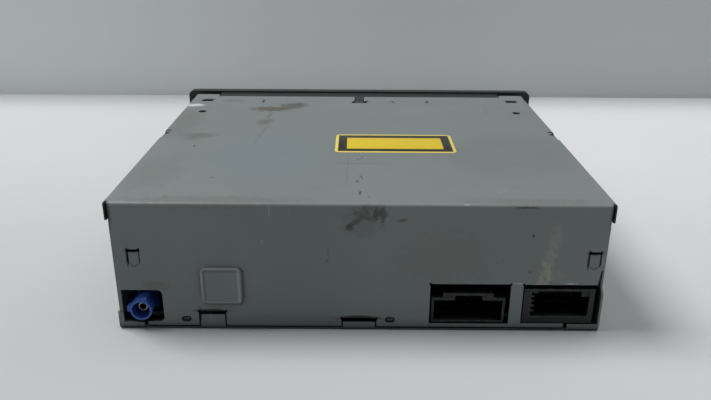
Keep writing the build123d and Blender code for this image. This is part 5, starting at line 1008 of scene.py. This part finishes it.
def leadScrew():
    low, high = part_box("lead_screw")
    centre = middle((low, high))
    length, left, metal = (high.x - low.x) / mm, leadLook["left"], finish["bright_steel"]
    rod = rodProfile(0.2)(-left, length - left, leadLook["end"])
    piece = meshObject("leadScrew", *lathe([(Vector(), "Z", rod)], 32), metal)
    grown(piece, threadTree(), {
        "Length": (length - left - leadLook["right"]) * mm, "Core Radius": leadLook["core"] * mm,
        "Pitch": leadLook["pitch"] * mm, "Thread Depth": leadLook["ridge"] * mm,
        "Place": (low.x + left * mm, centre.y, centre.z), "Material": metal})
    faceOutward(piece)
    shadeByAngle(piece, 40)
    stand(piece, "lead_screw")


leadScrew()


def chipPartTree():
    tree, given, result = newGeometryTree("smallBoardParts", {
        "Length": 0.0018, "Width": 0.001, "Height": 0.0006, "Share": 0.5, "Seed": 21, "Body": "Material",
        "Ends": "Material"})
    chance = put(tree, "FunctionNodeRandomValue", {"Seed": given["Seed"], "Probability": given["Share"]},
                 data_type="BOOLEAN")
    kept = put(tree, "GeometryNodeDeleteGeometry",
               {"Geometry": given["Geometry"], "Selection": enabledOutput(chance)}, domain="POINT").outputs[0]

    def block(lengthShare, widthShare, shift, material):
        width, height = [times(tree, given[side], widthShare) for side in ("Width", "Height")]
        size = xyz(tree, times(tree, given["Length"], lengthShare), width, height)
        cube = solid(tree, "Cube", {"Size": size})
        aside = xyz(tree, times(tree, given["Length"], shift), 0.0, times(tree, height, 0.5))
        return painted(tree, moved(tree, cube, aside), material)

    part = joined(tree, block(0.7, 0.92, 0.0, given["Body"]), block(0.2, 1.0, 0.4, given["Ends"]),
                  block(0.2, 1.0, -0.4, given["Ends"]))
    copies = copied(tree, kept, part, seededTurn(tree, given, 0, 1, "INT", pi / 2))
    return closed(tree, result, Geometry=realized(tree, copies))


# Fields of small parts on the main board, in mm: left, right, rear, front
partFields = [(-44, -14, -27, 29), (-8, 40, 13, 51), (50, 80, 9, 45), (-12, 24, -73, -49),
              (-76, -50, -21, 29), (2, 22, -43, -27)]
partPitch = 4.2  # a piece's share of these places stays empty
partLooks = {
    "boardResistors": {"size": (1.7, 0.9, 0.55), "seed": 21, "share": 0.45, "body": "chip_black",
                       "shift": 0.0},
    "boardCapacitors": {"size": (2.2, 1.3, 0.95), "seed": 34, "share": 0.8, "body": "gear_plastic",
                        "shift": 0.5},
}


def boardParts(tree, name, look):
    points, shift = [], look["shift"]
    for left, right, rear, front in partFields:
        across, along = int((right - left) / partPitch), int((front - rear) / partPitch)
        points += [((left + (shift + i) * partPitch) * mm, (rear + (shift + j) * partPitch) * mm, boardZ)
                   for i in range(across) for j in range(along)]
    piece = meshObject(name, points, [], finish[look["body"]])
    length, width, height = [side * mm for side in look["size"]]
    grown(piece, tree, {"Length": length, "Width": width, "Height": height, "Share": look["share"],
                        "Seed": look["seed"], "Body": finish[look["body"]], "Ends": finish["bright_steel"]})
    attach(piece, bodyOf["main_board"])


partTree = chipPartTree()
for name, look in partLooks.items():
    boardParts(partTree, name, look)
print("screws, thread and board parts ready")


# The blank sticker on the cover

def roundedOutline(half, corner, steps=8):
    points = []
    for sx, sy, begin in ((1, 1, 0), (-1, 1, 90), (-1, -1, 180), (1, -1, 270)):
        for i in range(steps + 1):
            a = radians(begin + 90 * i / steps)
            x, y = sx * (half[0] - corner), sy * (half[1] - corner)
            points.append((x + corner * cos(a), y + corner * sin(a)))
    return points


def addSticker():
    plan = roundedOutline(labelLook["half"], labelLook["corner"])
    (x, y), thick = labelLook["centre"], labelLook["thick"]
    rows = [(0.0, 0.0), (thick * 0.6, 0.0), (thick, 0.06)]  # height and inset of each outline
    verts, faces = [], []
    for height, inset in rows:
        share = 1 - inset / labelLook["half"][1]
        verts += [((x + px * share) * mm, (y + py * share) * mm, topZ + height * mm) for px, py in plan]
    n = len(plan)
    for row in range(len(rows) - 1):
        faces += [(row * n + i, row * n + (i + 1) % n, (row + 1) * n + (i + 1) % n, (row + 1) * n + i)
                  for i in range(n)]
    faces += [tuple(range(2 * n, 3 * n)), tuple(reversed(range(n)))]
    sticker = meshObject("blankSticker", verts, faces, labelFinish)
    shadeByAngle(sticker, 40)
    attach(sticker, "case")


addSticker()
print("sticker ready")


# Camera, stage and light: the view's place is in mm, its turns in degrees, the rest in metres

view = {"place": (-1.2, -311.05, 144.0), "pitch": 21.83, "yaw": -0.08, "roll": 0.334, "focal": 718.2,
        "width": 711, "sensor": 36.0}
# The floor grows lighter towards the back, and the floor and the wall change in brightness from side to side:
# painted light falloff
floorLook = {"colour": (0.5, 0.52, 0.52), "far": (0.63, 0.64, 0.65), "span": (-0.15, 0.14),
             "across": (-0.16, 0.2, 0.92, 1.1), "width": 2.6, "front": -1.4, "back": 1.3, "tilt": 0.41,
             "rough": 0.5, "grain": 60.0, "cloud": 1.6}
wallLook = {"colour": (0.72, 0.75, 0.75), "place": 0.29, "across": (-0.3, 0.1, 1.2, 0.93), "height": 0.16,
            "rough": 0.8, "grain": 60.0, "cloud": 1.6}
lampLooks = {
    "keyLamp": {"place": (-1.56, 0.42, 2.6), "aim": (0.0, 0.03, 0.0), "size": 1.35, "power": 83.0},
    "skyLamp": {"place": (0.55, 0.1, 1.7), "aim": (0.05, 0.0, 0.0), "size": 1.7, "power": 11.5},
    "fillLamp": {"place": (-0.25, -1.1, 0.8), "aim": (0.0, 0.0, 0.02), "size": 1.2, "power": 0.5},
}
worldLook = {"colour": (0.88, 0.92, 0.96), "strength": 0.14}


def addCamera():
    data = bpy.data.cameras.new("photoCamera")
    data.sensor_width = view["sensor"]
    data.lens = view["focal"] / view["width"] * view["sensor"]
    data.clip_start = 0.01
    camera = linked("photoCamera", data)
    pitch, yaw, roll = radians(view["pitch"]), radians(view["yaw"]), radians(view["roll"])
    ahead = Vector((sin(yaw) * cos(pitch), cos(yaw) * cos(pitch), -sin(pitch)))
    right = ahead.cross(Vector((0, 0, 1))).normalized()
    up = right.cross(ahead)
    turnedRight = right * cos(roll) + up * sin(roll)
    turnedUp = up * cos(roll) - right * sin(roll)
    camera.matrix_world = Matrix.Translation(Vector(view["place"]) * mm) @ Matrix(
        (turnedRight, turnedUp, -ahead)).transposed().to_4x4()
    bpy.context.scene.camera = camera


def addLamp(name, look):
    data = bpy.data.lights.new(name, "AREA")
    data.shape = "SQUARE"
    data.size = look["size"]
    data.energy = look["power"]
    place = Vector(look["place"])
    facing = (Vector(look["aim"]) - place).to_track_quat("-Z", "Y").to_matrix().to_4x4()
    linked(name, data).matrix_world = Matrix.Translation(place) @ facing


def falloffPaintedFinish(name, look):
    mat, tree, position, grain = startFinish(name, look)
    sides = put(tree, "ShaderNodeSeparateXYZ", {0: position}).outputs
    # painted light falloff: lighter towards the back and changing from side to side
    colour = look["colour"]
    if "far" in look:
        colour = mixed(tree, spread(tree, sides[1], *look["span"], smooth=True), colour, look["far"])
    across = spread(tree, sides[0], *look["across"], smooth=True)
    sideFalloff = put(tree, "ShaderNodeCombineColor", {0: across, 1: across, 2: across}).outputs[0]
    colour = mixed(tree, 1.0, colour, sideFalloff, "MULTIPLY")
    shade = mixed(tree, grain["Broad"], (0.96, 0.96, 0.96), (1.0, 1.0, 1.0))
    return endFinish(mat, look, mixed(tree, 1.0, colour, shade, "MULTIPLY"), look["rough"])


def oneSided(mat):  # clear from behind, so that views of the front show the object
    tree = mat.node_tree
    back = put(tree, "ShaderNodeNewGeometry").outputs["Backfacing"]
    clear = put(tree, "ShaderNodeBsdfTransparent").outputs[0]
    both = put(tree, "ShaderNodeMixShader", {0: back, 1: tree.nodes["Principled BSDF"].outputs[0], 2: clear})
    feed(tree, tree.nodes["Material Output"], "Surface", both.outputs[0])
    return mat


def addStage():
    half = floorLook["width"] / 2
    slope = -radians(floorLook["tilt"])
    pivotY = 85.0 * mm  # the bezel's lower edge stands on the floor

    def heightAt(y):
        return (y - pivotY) * slope

    table = [(x, y, heightAt(y)) for y in (floorLook["front"], floorLook["back"]) for x in (-half, half)]
    place = wallLook["place"]
    sheet = [(x, place, z) for z in (heightAt(place), wallLook["height"]) for x in (-half, half)]
    floor = meshObject("floor", table, [(0, 1, 3, 2)], falloffPaintedFinish("paleTable", floorLook))
    wall = meshObject("wall", sheet, [(0, 1, 3, 2)], oneSided(falloffPaintedFinish("greyWall", wallLook)))
    for name, look in lampLooks.items():
        addLamp(name, look)
    world = bpy.data.worlds.new("room")
    world.use_nodes = True
    sky = world.node_tree.nodes["Background"]
    sky.inputs["Color"].default_value = (*worldLook["colour"], 1)
    sky.inputs["Strength"].default_value = worldLook["strength"]
    bpy.context.scene.world = world
    bpy.context.scene.view_settings.view_transform = "Standard"


addCamera()
addStage()
print("camera and stage ready")
